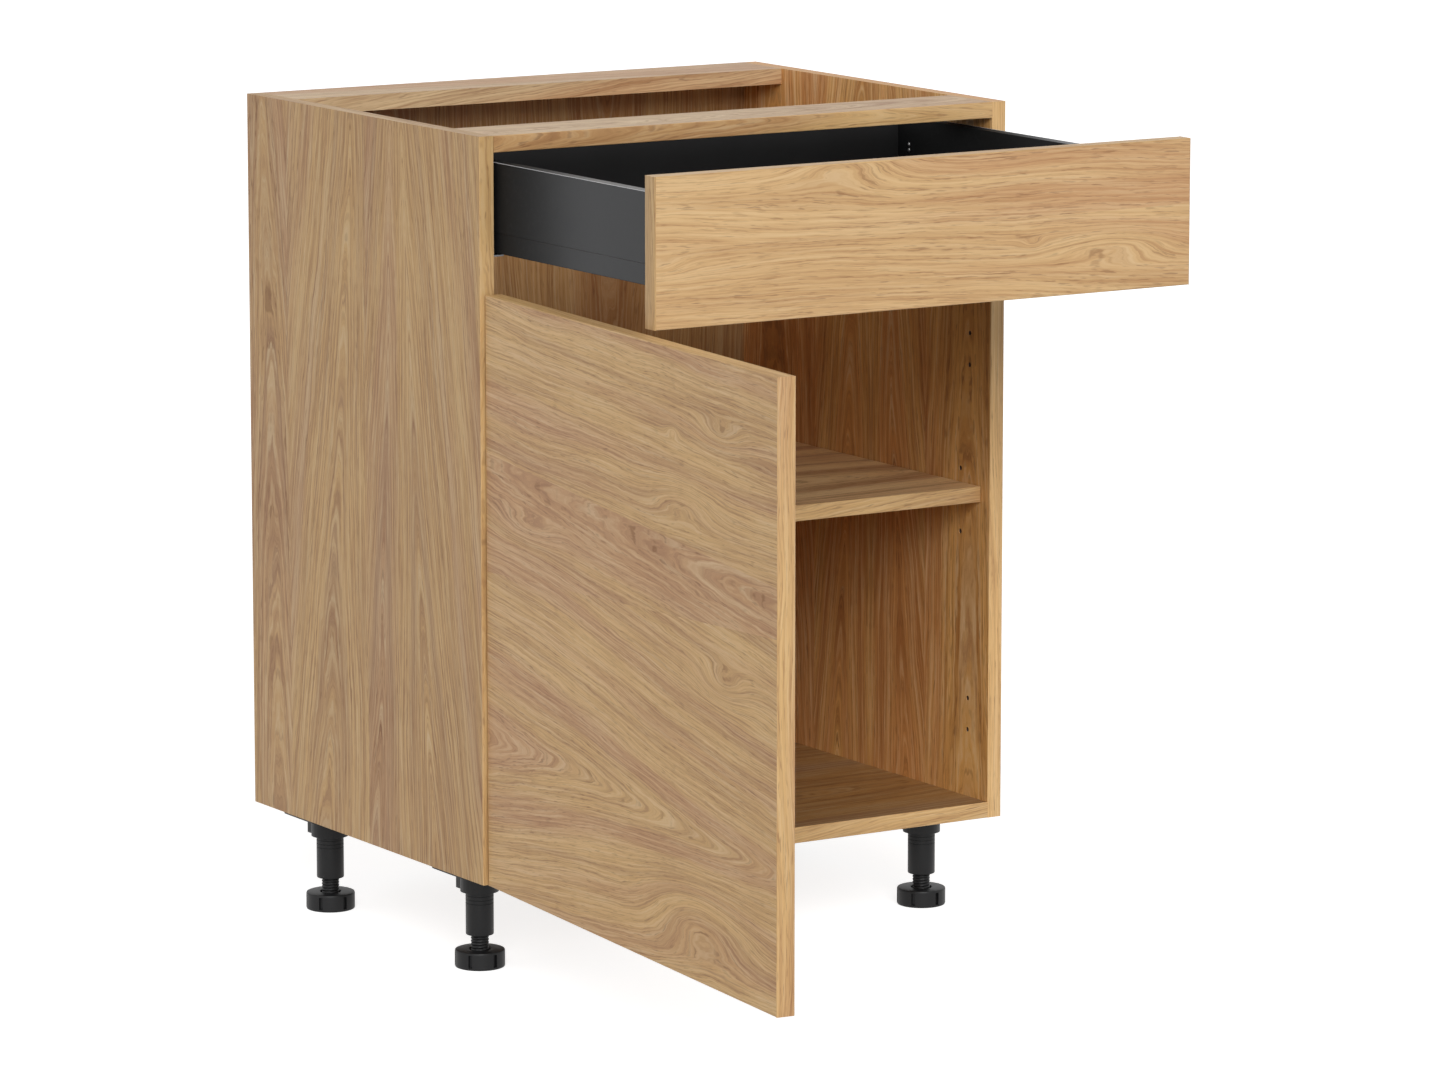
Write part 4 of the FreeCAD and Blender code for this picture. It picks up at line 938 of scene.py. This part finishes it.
@dataclass
class Assembly:
    """A sub-assembly, which dresses its CAD pieces and adds what they leave out.

    Attributes:
        body: The body that its added pieces ride on.
    """

    body: str = "carcass"

    def build(self) -> None:
        """Dress and add every piece of the sub-assembly."""
        raise NotImplementedError

    def dress(self, finish: Finish, *names: str, edge: float = 0.0) -> None:
        """Give CAD pieces a finish.

        Args:
            finish: The finish.
            names: The pieces.
            edge: Radius to which their edges are broken, in metres.
        """
        for name in names:
            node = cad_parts[name]
            node.data.materials.clear()
            node.data.materials.append(material_of(finish))
            if edge:
                weld = node.modifiers.new("weld", "WELD")
                weld.merge_threshold = MERGE
                rounding = node.modifiers.new("edges", "BEVEL")
                rounding.width, rounding.segments = edge, 2
                rounding.limit_method, rounding.angle_limit = "ANGLE", BEVEL_ANGLE
                rounding.harden_normals = True
            LOG.info("%s wears %s", name, finish.name)

    def lay(self, forms: dict[OakDecor, Form], node: str) -> None:
        """End the meshes that stand for the plain bands of one CAD piece."""
        for finish, form in forms.items():
            form.piece(finish, self.body, node)

    def lay_round(self, forms: dict[OakDecor, Form], board: str, node: str, turn: Matrix) -> None:
        """Round the outer edges of the four bands of a front.

        Args:
            forms: The meshes of the upright and of the level bands, by finish.
            board: The CAD piece inside the bands.
            node: The CAD piece with the plain bands.
            turn: Takes the row frame to the one in which the front is straight.
        """
        upright, level = forms.values()
        inner, outer = (limits([turn @ vertex.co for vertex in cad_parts[name].data.vertices])
                        for name in (board, node))
        for end, side in enumerate((-1.0, 1.0)):
            inside = 1 - end  # number of the band's corner that touches the board
            band = [corner.copy() for corner in outer]
            band[inside].x = inner[end].x
            upright.bar(*band, (side, 0.0, 0.0))
            band = [corner.copy() for corner in outer]
            band[0].x, band[1].x = inner[0].x, inner[1].x
            band[inside].z = inner[end].z
            level.bar(*band, (0.0, 0.0, side))
        self.lay(forms, node)

    def bumpers(self, node: str, matrix: Matrix) -> None:
        """Turn the soft bumpers of a front, which look at the carcass.

        Args:
            node: The CAD piece with the plain ones.
            matrix: Takes the frame in which the front is straight to the row frame.
        """
        form, steps, brim = Form(f"{node}_domed", matrix), 8, 0.30
        for points in solids(node):
            low, high = limits([matrix.inverted() @ point for point in points])
            radius, rise = (high.x - low.x) / 2, high.y - low.y
            base = Vector(((low.x + high.x) / 2, low.y, (low.z + high.z) / 2))
            angles = [math.pi / 2 * step / steps for step in range(steps)]
            dome = [(radius * math.cos(turn), rise * (brim + (1.0 - brim) * math.sin(turn)))
                    for turn in angles]
            form.turned(base, Y, [(radius, 0.0), *dome, (0.0, rise)], 32)
        form.piece(RUBBER, self.body, node)


# Shape of a screw, as shares of its shank's radius, of its head's radius and of its head's height
TIP_SHARE, NECK_SHARE, ROOT_SHARE = 0.35, 0.92, 0.78
BRIM_SHARES = ((0.96, 0.0), (1.0, 0.2), (0.97, 0.45))
DOME_SHARES = (0.88, 0.78, 0.70, 0.62, 0.55, 0.48, 0.41, 0.34, 0.27, 0.20, 0.12, 0.05)
DOME_DROP_SHARE, SUNK_SHARE, SINK_SHARE = 0.42, 0.40, 0.62
ARM_SHARE, ARM_EDGE_SHARE, END_EDGE_SHARE = 0.17, 0.05, 0.08
SCREW_TURN = 0.0012


@dataclass
class Screws(Assembly):
    """Screws with a domed head and a cross recess, in place of plain CAD ones.

    Attributes:
        node: The CAD piece with the plain screws.
        toward: Way that the heads look, or None where they look at the cabinet's middle.
        head_radius: Radius of the heads.
        head_height: Height of the heads.
        shank_radius: Radius of the shanks.
        recess: Length of the cross recess, as a share of the head's radius.
        finish: Their finish.
    """

    node: str = ""
    toward: Optional[Triple] = (0.0, 0.0, -1.0)
    head_radius: float = 0.003
    head_height: float = 0.0012
    shank_radius: float = 0.00175
    recess: float = 0.62
    finish: Finish = SCREW_STEEL

    def build(self) -> None:
        """Turn each screw on the line of the plain one."""
        form = Form(f"{self.node}_turned")
        for points in solids(self.node):
            low, high = limits(points)
            axis = (Vector(self.toward) if self.toward else inward((low + high) / 2)).normalized()
            reach = [point.dot(axis) for point in points]
            low, high = limits(point - axis * point.dot(axis) for point in points)
            self._turn(form, (low + high) / 2, axis, max(reach), min(reach))
        form.piece(self.finish, self.body, self.node)

    def _turn(self, form: Form, seat: Vector, axis: Vector, top: float, bottom: float) -> None:
        """Turn one screw from the tip of its shank to the middle of its recess.

        Args:
            form: The mesh that takes it.
            seat: Point on its axis from which heights count.
            axis: Way that its head looks.
            top: Height of its head's top.
            bottom: Height of its tip.
        """
        shank, head, height = self.shank_radius, self.head_radius, self.head_height
        under = top - height
        start = bottom + min(shank, (under - bottom) / 2)
        turns = max(2, round((under - start) / SCREW_TURN))
        profile = [(shank * TIP_SHARE, bottom), (shank * NECK_SHARE, start)]
        profile += [(shank * (1.0 if step % 2 else ROOT_SHARE),
                     start + (under - start) * step / turns) for step in range(turns)]
        profile.append((shank * NECK_SHARE, under))
        profile += [(head * share, under + height * rise) for share, rise in BRIM_SHARES]
        profile += [(head * share, top - height * DOME_DROP_SHARE * share ** 2)
                    for share in DOME_SHARES]

        def cross(radius: float, level: float, turn: float) -> tuple[float, float]:
            """Sink the recess into the head.

            Args:
                radius: Radius of the point.
                level: Its height.
                turn: Its angle.

            Returns:
                Its new radius and height.
            """
            if level < top - height * SUNK_SHARE:
                return radius, level
            offset = min(abs(radius * math.sin(turn)), abs(radius * math.cos(turn)))
            arm = held((head * ARM_SHARE - offset) / (head * ARM_EDGE_SHARE))
            reach = held((head * self.recess - radius) / (head * END_EDGE_SHARE))
            return radius, level - height * SINK_SHARE * arm * reach

        form.turned(seat, axis, profile, relief=cross)


@dataclass
class Carcass(Assembly):
    """Boards, edge bands, fittings and shelf of the carcass."""

    def build(self) -> None:
        """Dress the boards and add bands, cams and shelf pins."""
        upright, level = Grain(Z, Y), Grain(X, Y)
        left = (
            Stave(-0.460, -0.305, depth=0.010, taper=0.080, tilt=0.080, warmth=0.30),
            Stave(-0.300, -0.292, depth=0.009, taper=0.075, tilt=-0.055, warmth=0.85),
            Stave(-0.238, -0.212, depth=0.012, taper=0.085, tilt=-0.085, warmth=0.35),
            Stave(-0.080, -0.022, depth=0.030, taper=0.060, tilt=0.045, warmth=0.85),
        )
        right = (
            Stave(-0.460, -0.420, depth=0.030, taper=0.040, warmth=0.35),
            Stave(-0.345, -0.262, depth=0.010, taper=0.080, tilt=0.060, warmth=0.70),
            Stave(-0.245, -0.232, depth=0.010, taper=0.085, tilt=-0.065, warmth=0.55),
            Stave(-0.140, -0.060, depth=0.030, taper=0.050, warmth=0.75),
        )
        back = (Stave(-0.300, -0.150, warmth=0.8), Stave(-0.020, 0.120, taper=-0.04, warmth=0.6))
        wide = (Stave(-0.460, -0.330, taper=0.05, warmth=0.4),
                Stave(-0.210, -0.080, taper=-0.05, warmth=0.6))
        # Painted shade and light: each board's shade, and the deeper, warmer pale of the inner
        # boards, stand in for the light and warm bounce light it gets; the bottom, the back and
        # the left side are darkened, the shelf and the right side brightened.
        self.dress(OakDecor("oak_side_left", upright, 1.7, left, pale=linear(226, 181, 117),
                            contrast=1.65, shade=0.715, core=bored("side_panel_left")),
                   "side_panel_left", edge=BOARD_EDGE)
        self.dress(OakDecor("oak_side_right", upright, 5.3, right, pale=linear(232, 178, 104),
                            red=linear(208, 142, 82), dark=linear(152, 92, 46), contrast=1.45,
                            shade=1.00, core=bored("side_panel_right")),
                   "side_panel_right", edge=BOARD_EDGE)
        self.dress(OakDecor("oak_back", Grain(Z, X), 8.9, back, pale=linear(218, 168, 106),
                            red=linear(200, 142, 86), dark=linear(142, 86, 44), shade=0.66),
                   "back_panel")
        self.dress(OakDecor("oak_bottom", level, 12.4, wide, pale=linear(220, 162, 90),
                            contrast=1.6, shade=0.485), "bottom_panel", edge=BOARD_EDGE)
        self.dress(OakDecor("oak_shelf", level, 13.6, wide, pale=linear(243, 205, 149),
                            shade=1.10), "shelf", edge=BOARD_EDGE)
        self.dress(OakDecor("oak_rail", level, 15.1,
                            (Stave(-0.460, -0.42, taper=0.06, warmth=0.4),),
                            pale=linear(215, 184, 142)),
                   "top_rail_front", "top_rail_rear", edge=BOARD_EDGE)
        self.dress(OakDecor("beech_dowel", level, 40.0, pale=linear(226, 196, 158),
                            contrast=0.5), "carcass_dowels")
        self.dress(NICKEL, "cam_bolts")
        self._bands()
        self._shelf_pins()
        Screws(node="cam_discs", head_radius=0.0075, head_height=0.0118, shank_radius=0.0072,
               recess=0.66, finish=ZINC_ALLOY).build()

    def _bands(self) -> None:
        """Lay rounded bands on the front edges of the boards and of the shelf."""
        # Painted shade and light: the left and right upright bands are two copies of one decor,
        # the left darker where the open door shades it, the right brighter.
        left = edge_band("oak_edge_left", Z, X, 30.3, shade=0.755)
        right = edge_band("oak_edge_right", Z, X, 31.9, shade=1.02)
        across = edge_band("oak_edge_across", X, Z, 33.8, heart=-0.010, taper=0.085)
        forms = {left: Form("side_edge_band_left_rounded"),
                 right: Form("side_edge_band_right_rounded"),
                 across: Form("board_edge_bands_rounded")}
        forward = (0.0, -1.0, 0.0)
        front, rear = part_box("carcass_edge_bands")
        for board, finish in (("side_panel_left", left), ("side_panel_right", right),
                              ("bottom_panel", across), ("top_rail_front", across)):
            low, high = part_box(board)
            low.y, high.y = front.y, rear.y
            forms[finish].bar(low, high, forward)
        self.lay(forms, "carcass_edge_bands")
        shelf = Form("shelf_edge_band_rounded")
        shelf.bar(*limits(solids("shelf_edge_band")[0]), forward)
        self.lay({across: shelf}, "shelf_edge_band")

    def _shelf_pins(self) -> None:
        """Turn the shelf pins with their collars and rounded ends."""
        form = Form("shelf_pins_turned")
        for points in solids("shelf_pins"):
            low, high = limits(points)
            middle, half, radius = (low + high) / 2, (high.x - low.x) / 2, (high.z - low.z) / 2
            form.turned(middle, inward(middle),
                        stack((radius, -half, PIN_COLLAR), (radius, half, PIN_TIP)), 32)
        form.piece(NICKEL, self.body, "shelf_pins")


@dataclass
class Door(Assembly):
    """The door with its bands and bumpers."""

    body: str = "door"

    def build(self) -> None:
        """Dress the door's board and add its bands and bumpers."""
        opened = closed_door()
        along, thick = tuple(DOOR_TURN @ Vector(X)), tuple(DOOR_TURN @ Vector(Y))
        staves = (
            Stave(-0.720, -0.582, depth=0.008, taper=0.110, tilt=-0.035, warmth=0.34),
            Stave(-0.398, -0.330, depth=0.030, taper=-0.020, tilt=-0.07, warmth=1.0, lean=0.055),
            Stave(-0.318, -0.120, depth=0.014, taper=0.040, tilt=-0.07, warmth=0.30, lean=-0.06),
        )
        eyes = (
            Eye(0.095, -0.225, 0.012, 0.006, 0.008), Eye(0.191, -0.216, 0.045, 0.014, -0.015),
            Eye(0.117, -0.287, 0.060, 0.018, 0.017), Eye(-0.213, -0.361, 0.070, 0.016, -0.013),
            Eye(0.195, -0.440, 0.045, 0.017, 0.021), Eye(0.148, -0.662, 0.095, 0.033, 0.040),
        )
        grain = Grain(along, Z, tuple(opened @ Vector()))
        self.dress(OakDecor("oak_door", grain, 20.6, staves, eyes, pale=linear(225, 183, 121),
                            contrast=1.35, shade=0.90), "door_panel", edge=BOARD_EDGE)
        self.lay_round({
            edge_band("oak_edge_door_upright", Z, thick, 36.1):
                Form("door_side_bands_rounded", opened),
            edge_band("oak_edge_door_across", along, thick, 38.2):
                Form("door_end_bands_rounded", opened),
        }, "door_panel", "door_edge_bands", opened.inverted())
        self.bumpers("door_bumpers", opened)


@dataclass
class Drawer(Assembly):
    """Front, metal sides, bottom, back and fixings of the drawer."""

    body: str = "drawer"

    def build(self) -> None:
        """Dress the drawer and add bands, bumpers, screws and rivets."""
        staves = (
            Stave(-0.150, -0.185, depth=0.015, taper=0.026, warmth=0.10),
            Stave(-0.072, 0.055, depth=0.022, taper=-0.020, tilt=-0.012, warmth=0.40, lean=0.010),
        )
        eyes = (
            Eye(-0.094, -0.004, 0.060, 0.020, 0.022), Eye(0.117, -0.096, 0.014, 0.006, 0.007),
            Eye(0.216, -0.101, 0.070, 0.016, -0.017), Eye(-0.290, -0.092, 0.030, 0.008, 0.008),
        )
        self.dress(OakDecor("oak_drawer_front", Grain(X, Z), 25.2, staves, eyes,
                            pale=linear(226, 187, 133), dark=linear(160, 106, 62),
                            contrast=1.05), "drawer_front", edge=BOARD_EDGE)
        # The drawer front's upright bands carry a painted shade, darker than its level bands.
        self.lay_round({
            edge_band("oak_edge_drawer_upright", Z, Y, 41.0, shade=0.735):
                Form("drawer_side_bands_rounded"),
            edge_band("oak_edge_drawer_across", X, Y, 42.5): Form("drawer_end_bands_rounded"),
        }, "drawer_front", "drawer_front_edge_bands", Matrix.Identity(4))
        self.dress(POWDER, "drawer_side_left", "drawer_side_right", edge=0.0006)
        self.dress(POWDER, "drawer_back_brackets")
        self.dress(MELAMINE, "drawer_bottom", "drawer_back", edge=BOARD_EDGE)
        self.dress(PLASTIC, "drawer_front_brackets")
        self.dress(SCREW_STEEL, "drawer_front_screws")
        self.bumpers("drawer_bumpers", Matrix.Identity(4))
        Screws(self.body, "drawer_back_screws", Y).build()
        self._rivets()

    def _rivets(self) -> None:
        """Set two small rivets in the rear end of each side."""
        form = Form("drawer_side_rivets")
        for side in (-1.0, 1.0):
            for height in RIVET_HEIGHTS:
                base = Vector((side * RIVET_REACH, RIVET_ROW, height))
                form.turned(base, (-side, 0.0, 0.0), RIVET, 24)
        form.piece(SCREW_STEEL, self.body)


@dataclass
class Hinges(Assembly):
    """Cups, links, arms and plates of the two hinges."""

    def build(self) -> None:
        """Dress the hinges and turn their screws."""
        self.dress(NICKEL, "hinge_cups", "hinge_links", "hinge_arms", edge=0.00012)
        self.dress(NICKEL, "hinge_arm_pins", "hinge_cup_pins")
        self.dress(ZINC_ALLOY, "hinge_plates", edge=0.0002)
        Screws(self.body, "hinge_plate_screws", X, 0.004, 0.0012, 0.0029).build()
        Screws(self.body, "hinge_arm_screws", X, 0.003, 0.0018, 0.0024).build()
        Screws("door", "hinge_cup_screws", tuple(DOOR_TURN @ Vector(Y))).build()


@dataclass
class Runners(Assembly):
    """The fixed, middle and drawer rails."""

    def build(self) -> None:
        """Dress the rails and turn the screws of the fixed ones."""
        rails = [f"runner_{part}_{side}" for part in ("cabinet", "middle", "drawer")
                 for side in ("left", "right")]
        self.dress(ZINC_STEEL, *rails, edge=0.00015)
        Screws(self.body, "runner_screws", None, 0.0036, 0.0016, 0.0024).build()


@dataclass
class Leg(Assembly):
    """One leg: the socket, the tube that plugs on it and the foot that runs in the tube.

    Attributes:
        corner: Where it stands.
        grips: How many grip slots the foot's rim has.
        grip_width: Their width.
        grip_turn: Turn of the first one.
        spindle: Radius of the foot's spindle, and the pitch and depth of its thread.
    """

    corner: Corner = Corner.FRONT_LEFT
    grips: int = 6
    grip_width: float = 0.004
    grip_turn: float = math.radians(7.4 - 90.0)
    spindle: Triple = (0.0088, 0.003, 0.0007)

    def build(self) -> None:
        """Dress the socket and turn the tube and the foot."""
        socket, tube, foot = (f"{part}_{self.corner.value}"
                              for part in ("leg_socket", "leg_tube", "foot"))
        self.dress(PLASTIC, socket, edge=0.0004)
        for name, body, turn in ((tube, self.body, self._tube), (foot, foot, self._foot)):
            form = Form(f"{name}_turned")
            low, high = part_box(name)
            turn(form, Vector(((low.x + high.x) / 2, (low.y + high.y) / 2, low.z)), high.z - low.z)
            form.piece(PLASTIC, body, name)

    @staticmethod
    def _tube(form: Form, base: Vector, length: float) -> None:
        """Turn the tube, with three rings below the socket's collar.

        Args:
            form: The mesh that takes it.
            base: Middle of its lower end.
            length: Its length.
        """
        rings = ((1.0, length - down, TUBE_RING) for down in TUBE_RINGS_DOWN)
        form.turned(base, Z, stack((1.0, 0.0, TUBE_END), *rings, (1.0, length, TUBE_TOP),
                                   (1.0, 0.0, TUBE_END[:1])), 64)
        form.faces = [face for face in form.faces if len(face) == 4]

    def _foot(self, form: Form, base: Vector, length: float) -> None:
        """Turn the disc with its grips, and the threaded spindle.

        Args:
            form: The mesh that takes it.
            base: Middle of its underside.
            length: Its length.
        """
        half, pace = math.asin(self.grip_width / 2 / DISC[3][0]), math.tau / self.grips
        between = (pace - 2 * half) / 10
        shifts = [-half, -half * 0.999, half * 0.999,
                  *(half + between * step for step in range(10))]
        turns = sorted((self.grip_turn + pace * slot + shift) % math.tau
                       for slot in range(self.grips) for shift in shifts)

        def grip(radius: float, height: float, turn: float) -> tuple[float, float]:
            """Sink the grip slots into the rim.

            Args:
                radius: Radius of the point.
                height: Its height.
                turn: Its angle.

            Returns:
                Its new radius and height.
            """
            offset = (turn - self.grip_turn + pace / 2) % pace - pace / 2
            if abs(offset) < half * 0.9995 and GRIPPED[0] < height < GRIPPED[1]:
                radius = min(radius, GRIP_FLOOR)
            return radius, height

        form.turned(base, Z, DISC, relief=grip, angles=turns)
        self._spindle(form, base, DISC[-1][1], length)

    def _spindle(self, form: Form, base: Vector, start: float, end: float) -> None:
        """Cut the spindle's thread as one helix.

        Args:
            form: The mesh that takes it.
            base: Middle of the foot's underside.
            start: Height at which it starts.
            end: Height at which it ends.
        """
        reach, pitch, depth = self.spindle
        tip, smooth, run_out, flank, flat, pace = 0.0012, 0.0015, 0.002, 0.32, 1.4, 0.0005

        def thread(radius: float, height: float, turn: float) -> tuple[float, float]:
            """Sink the groove that climbs with the turn.

            Args:
                radius: Radius of the point.
                height: Its height.
                turn: Its angle.

            Returns:
                Its new radius and height.
            """
            phase = (height / pitch - turn / math.tau) % 1.0
            groove = held((1.0 - abs(phase - 0.5) / flank) * flat)
            fade = held((end - smooth - height) / run_out) * held((height - start) / run_out)
            return radius - depth * groove * fade, height

        count = round((end - start) / pace)
        profile = [(reach, start + (end - tip - start) * step / count)
                   for step in range(count + 1)]
        form.turned(base, Z, [*profile, (reach - 0.0010, end), (0.0, end)], 40, thread)


@dataclass
class Studio:
    """Pale floor, soft light and the camera of the photo.

    Attributes:
        key: Way that the main light travels, its strength and its spread in degrees.
        fill: The same for the second light.
        sky: Strength of the light from all round.
        glow: Strength of the floor as the camera sees it, besides its own light.
        reach: How far the floor goes each way.
        place: Where the camera stands.
        ahead: Way that it looks, as seen from above.
        lens: Its focal length, in millimetres.
        pitch: How far it looks down, in degrees.
    """

    key: tuple[Triple, float, float] = ((0.50, 1.0, -0.62), 2.30, 35.0)
    fill: tuple[Triple, float, float] = ((1.0, -0.30, -0.30), 0.22, 60.0)
    sky: float = 0.30
    glow: float = 0.80
    reach: float = 40.0
    place: Triple = (-3.4924, -5.9707, 0.7096)
    ahead: tuple[float, float] = (0.5316, 0.8470)
    lens: float = 170.37
    pitch: float = 9.7518

    def build(self) -> None:
        """Lay the floor, hang the lights and stand the camera."""
        self._floor()
        self._world()
        for name, (towards, strength, spread) in (("key_sun", self.key), ("fill_sun", self.fill)):
            lamp = bpy.data.lights.new(name, "SUN")
            lamp.energy, lamp.angle = strength, math.radians(spread)
            self._aim(stand(name, lamp), towards)
        bpy.context.scene.view_settings.view_transform = "Standard"
        self._camera()

    @staticmethod
    def _aim(holder: bpy.types.Object, towards: Sequence[float]) -> None:
        """Turn a light or the camera to look that way."""
        holder.rotation_mode = "QUATERNION"
        holder.rotation_quaternion = Vector(towards).to_track_quat("-Z", "Y")

    @staticmethod
    def _seen(graph: Graph) -> Socket:
        """Tell whether a ray comes from the camera or off a shiny or clear surface."""
        camera, glossy, clear = (graph.make("LightPath", {}, f"Is {kind} Ray")
                                 for kind in ("Camera", "Glossy", "Transmission"))
        return graph.math("MAXIMUM", camera, graph.math("MAXIMUM", glossy, clear))

    def _floor(self) -> None:
        """Lay the floor, which keeps the cabinet's shadow."""
        form = Form("floor")
        form.skin([[Vector((x, y, FLOOR)) for x, y in (
            (-self.reach, -self.reach), (self.reach, -self.reach), (self.reach, self.reach),
            (-self.reach, self.reach))]], first_cap=False)
        mesh = form.mesh()
        stand(form.name, mesh)
        graph = Graph(bpy.data.materials.new("floor_paint"))
        glow = graph.make("Emission", {"Strength": graph.times(self._seen(graph), self.glow)})
        broad = graph.noise(graph.place(), detail=2.0, scale=3.0)
        matt = graph.make("BsdfDiffuse", {
            "Color": graph.blend(broad, (0.62, 0.62, 0.62), (0.64, 0.64, 0.64))})
        graph.end(graph.make("AddShader", {0: matt, 1: glow}))
        mesh.materials.append(graph.owner)

    def _world(self) -> None:
        """Set a white world that lights the cabinet only softly."""
        world = bpy.data.worlds.new("studio")
        bpy.context.scene.world = world
        graph = Graph(world)
        strength = graph.choose(self._seen(graph), self.sky, 1.0)
        graph.end(graph.make("Background", {"Color": (1.0, 1.0, 1.0), "Strength": strength}),
                  "World")

    def _camera(self) -> None:
        """Stand the camera where the photo was taken from."""
        camera = bpy.data.cameras.new("photo_camera")
        camera.sensor_width, camera.lens, camera.clip_end = 36.0, self.lens, 200.0
        holder = stand(camera.name, camera)
        holder.location = self.place
        pitch = math.radians(self.pitch)
        level = [share * math.cos(pitch) for share in self.ahead]
        self._aim(holder, (*level, -math.sin(pitch)))
        bpy.context.scene.camera = holder


def main() -> None:
    """Build every sub-assembly in order, then the studio."""
    logging.basicConfig(level=logging.INFO, format="%(message)s")
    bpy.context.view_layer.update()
    parts: list[Assembly] = [Carcass(), Door(), Hinges(), Runners(), Drawer()]
    parts += [Leg(corner=corner) for corner in Corner]
    parts.append(Screws(node="leg_screws", head_radius=0.0038, head_height=0.0018,
                        shank_radius=0.002))
    for part in parts:
        part.build()
        LOG.info("%s is ready", type(part).__name__)
    Studio().build()


if __name__ == "__main__":
    main()
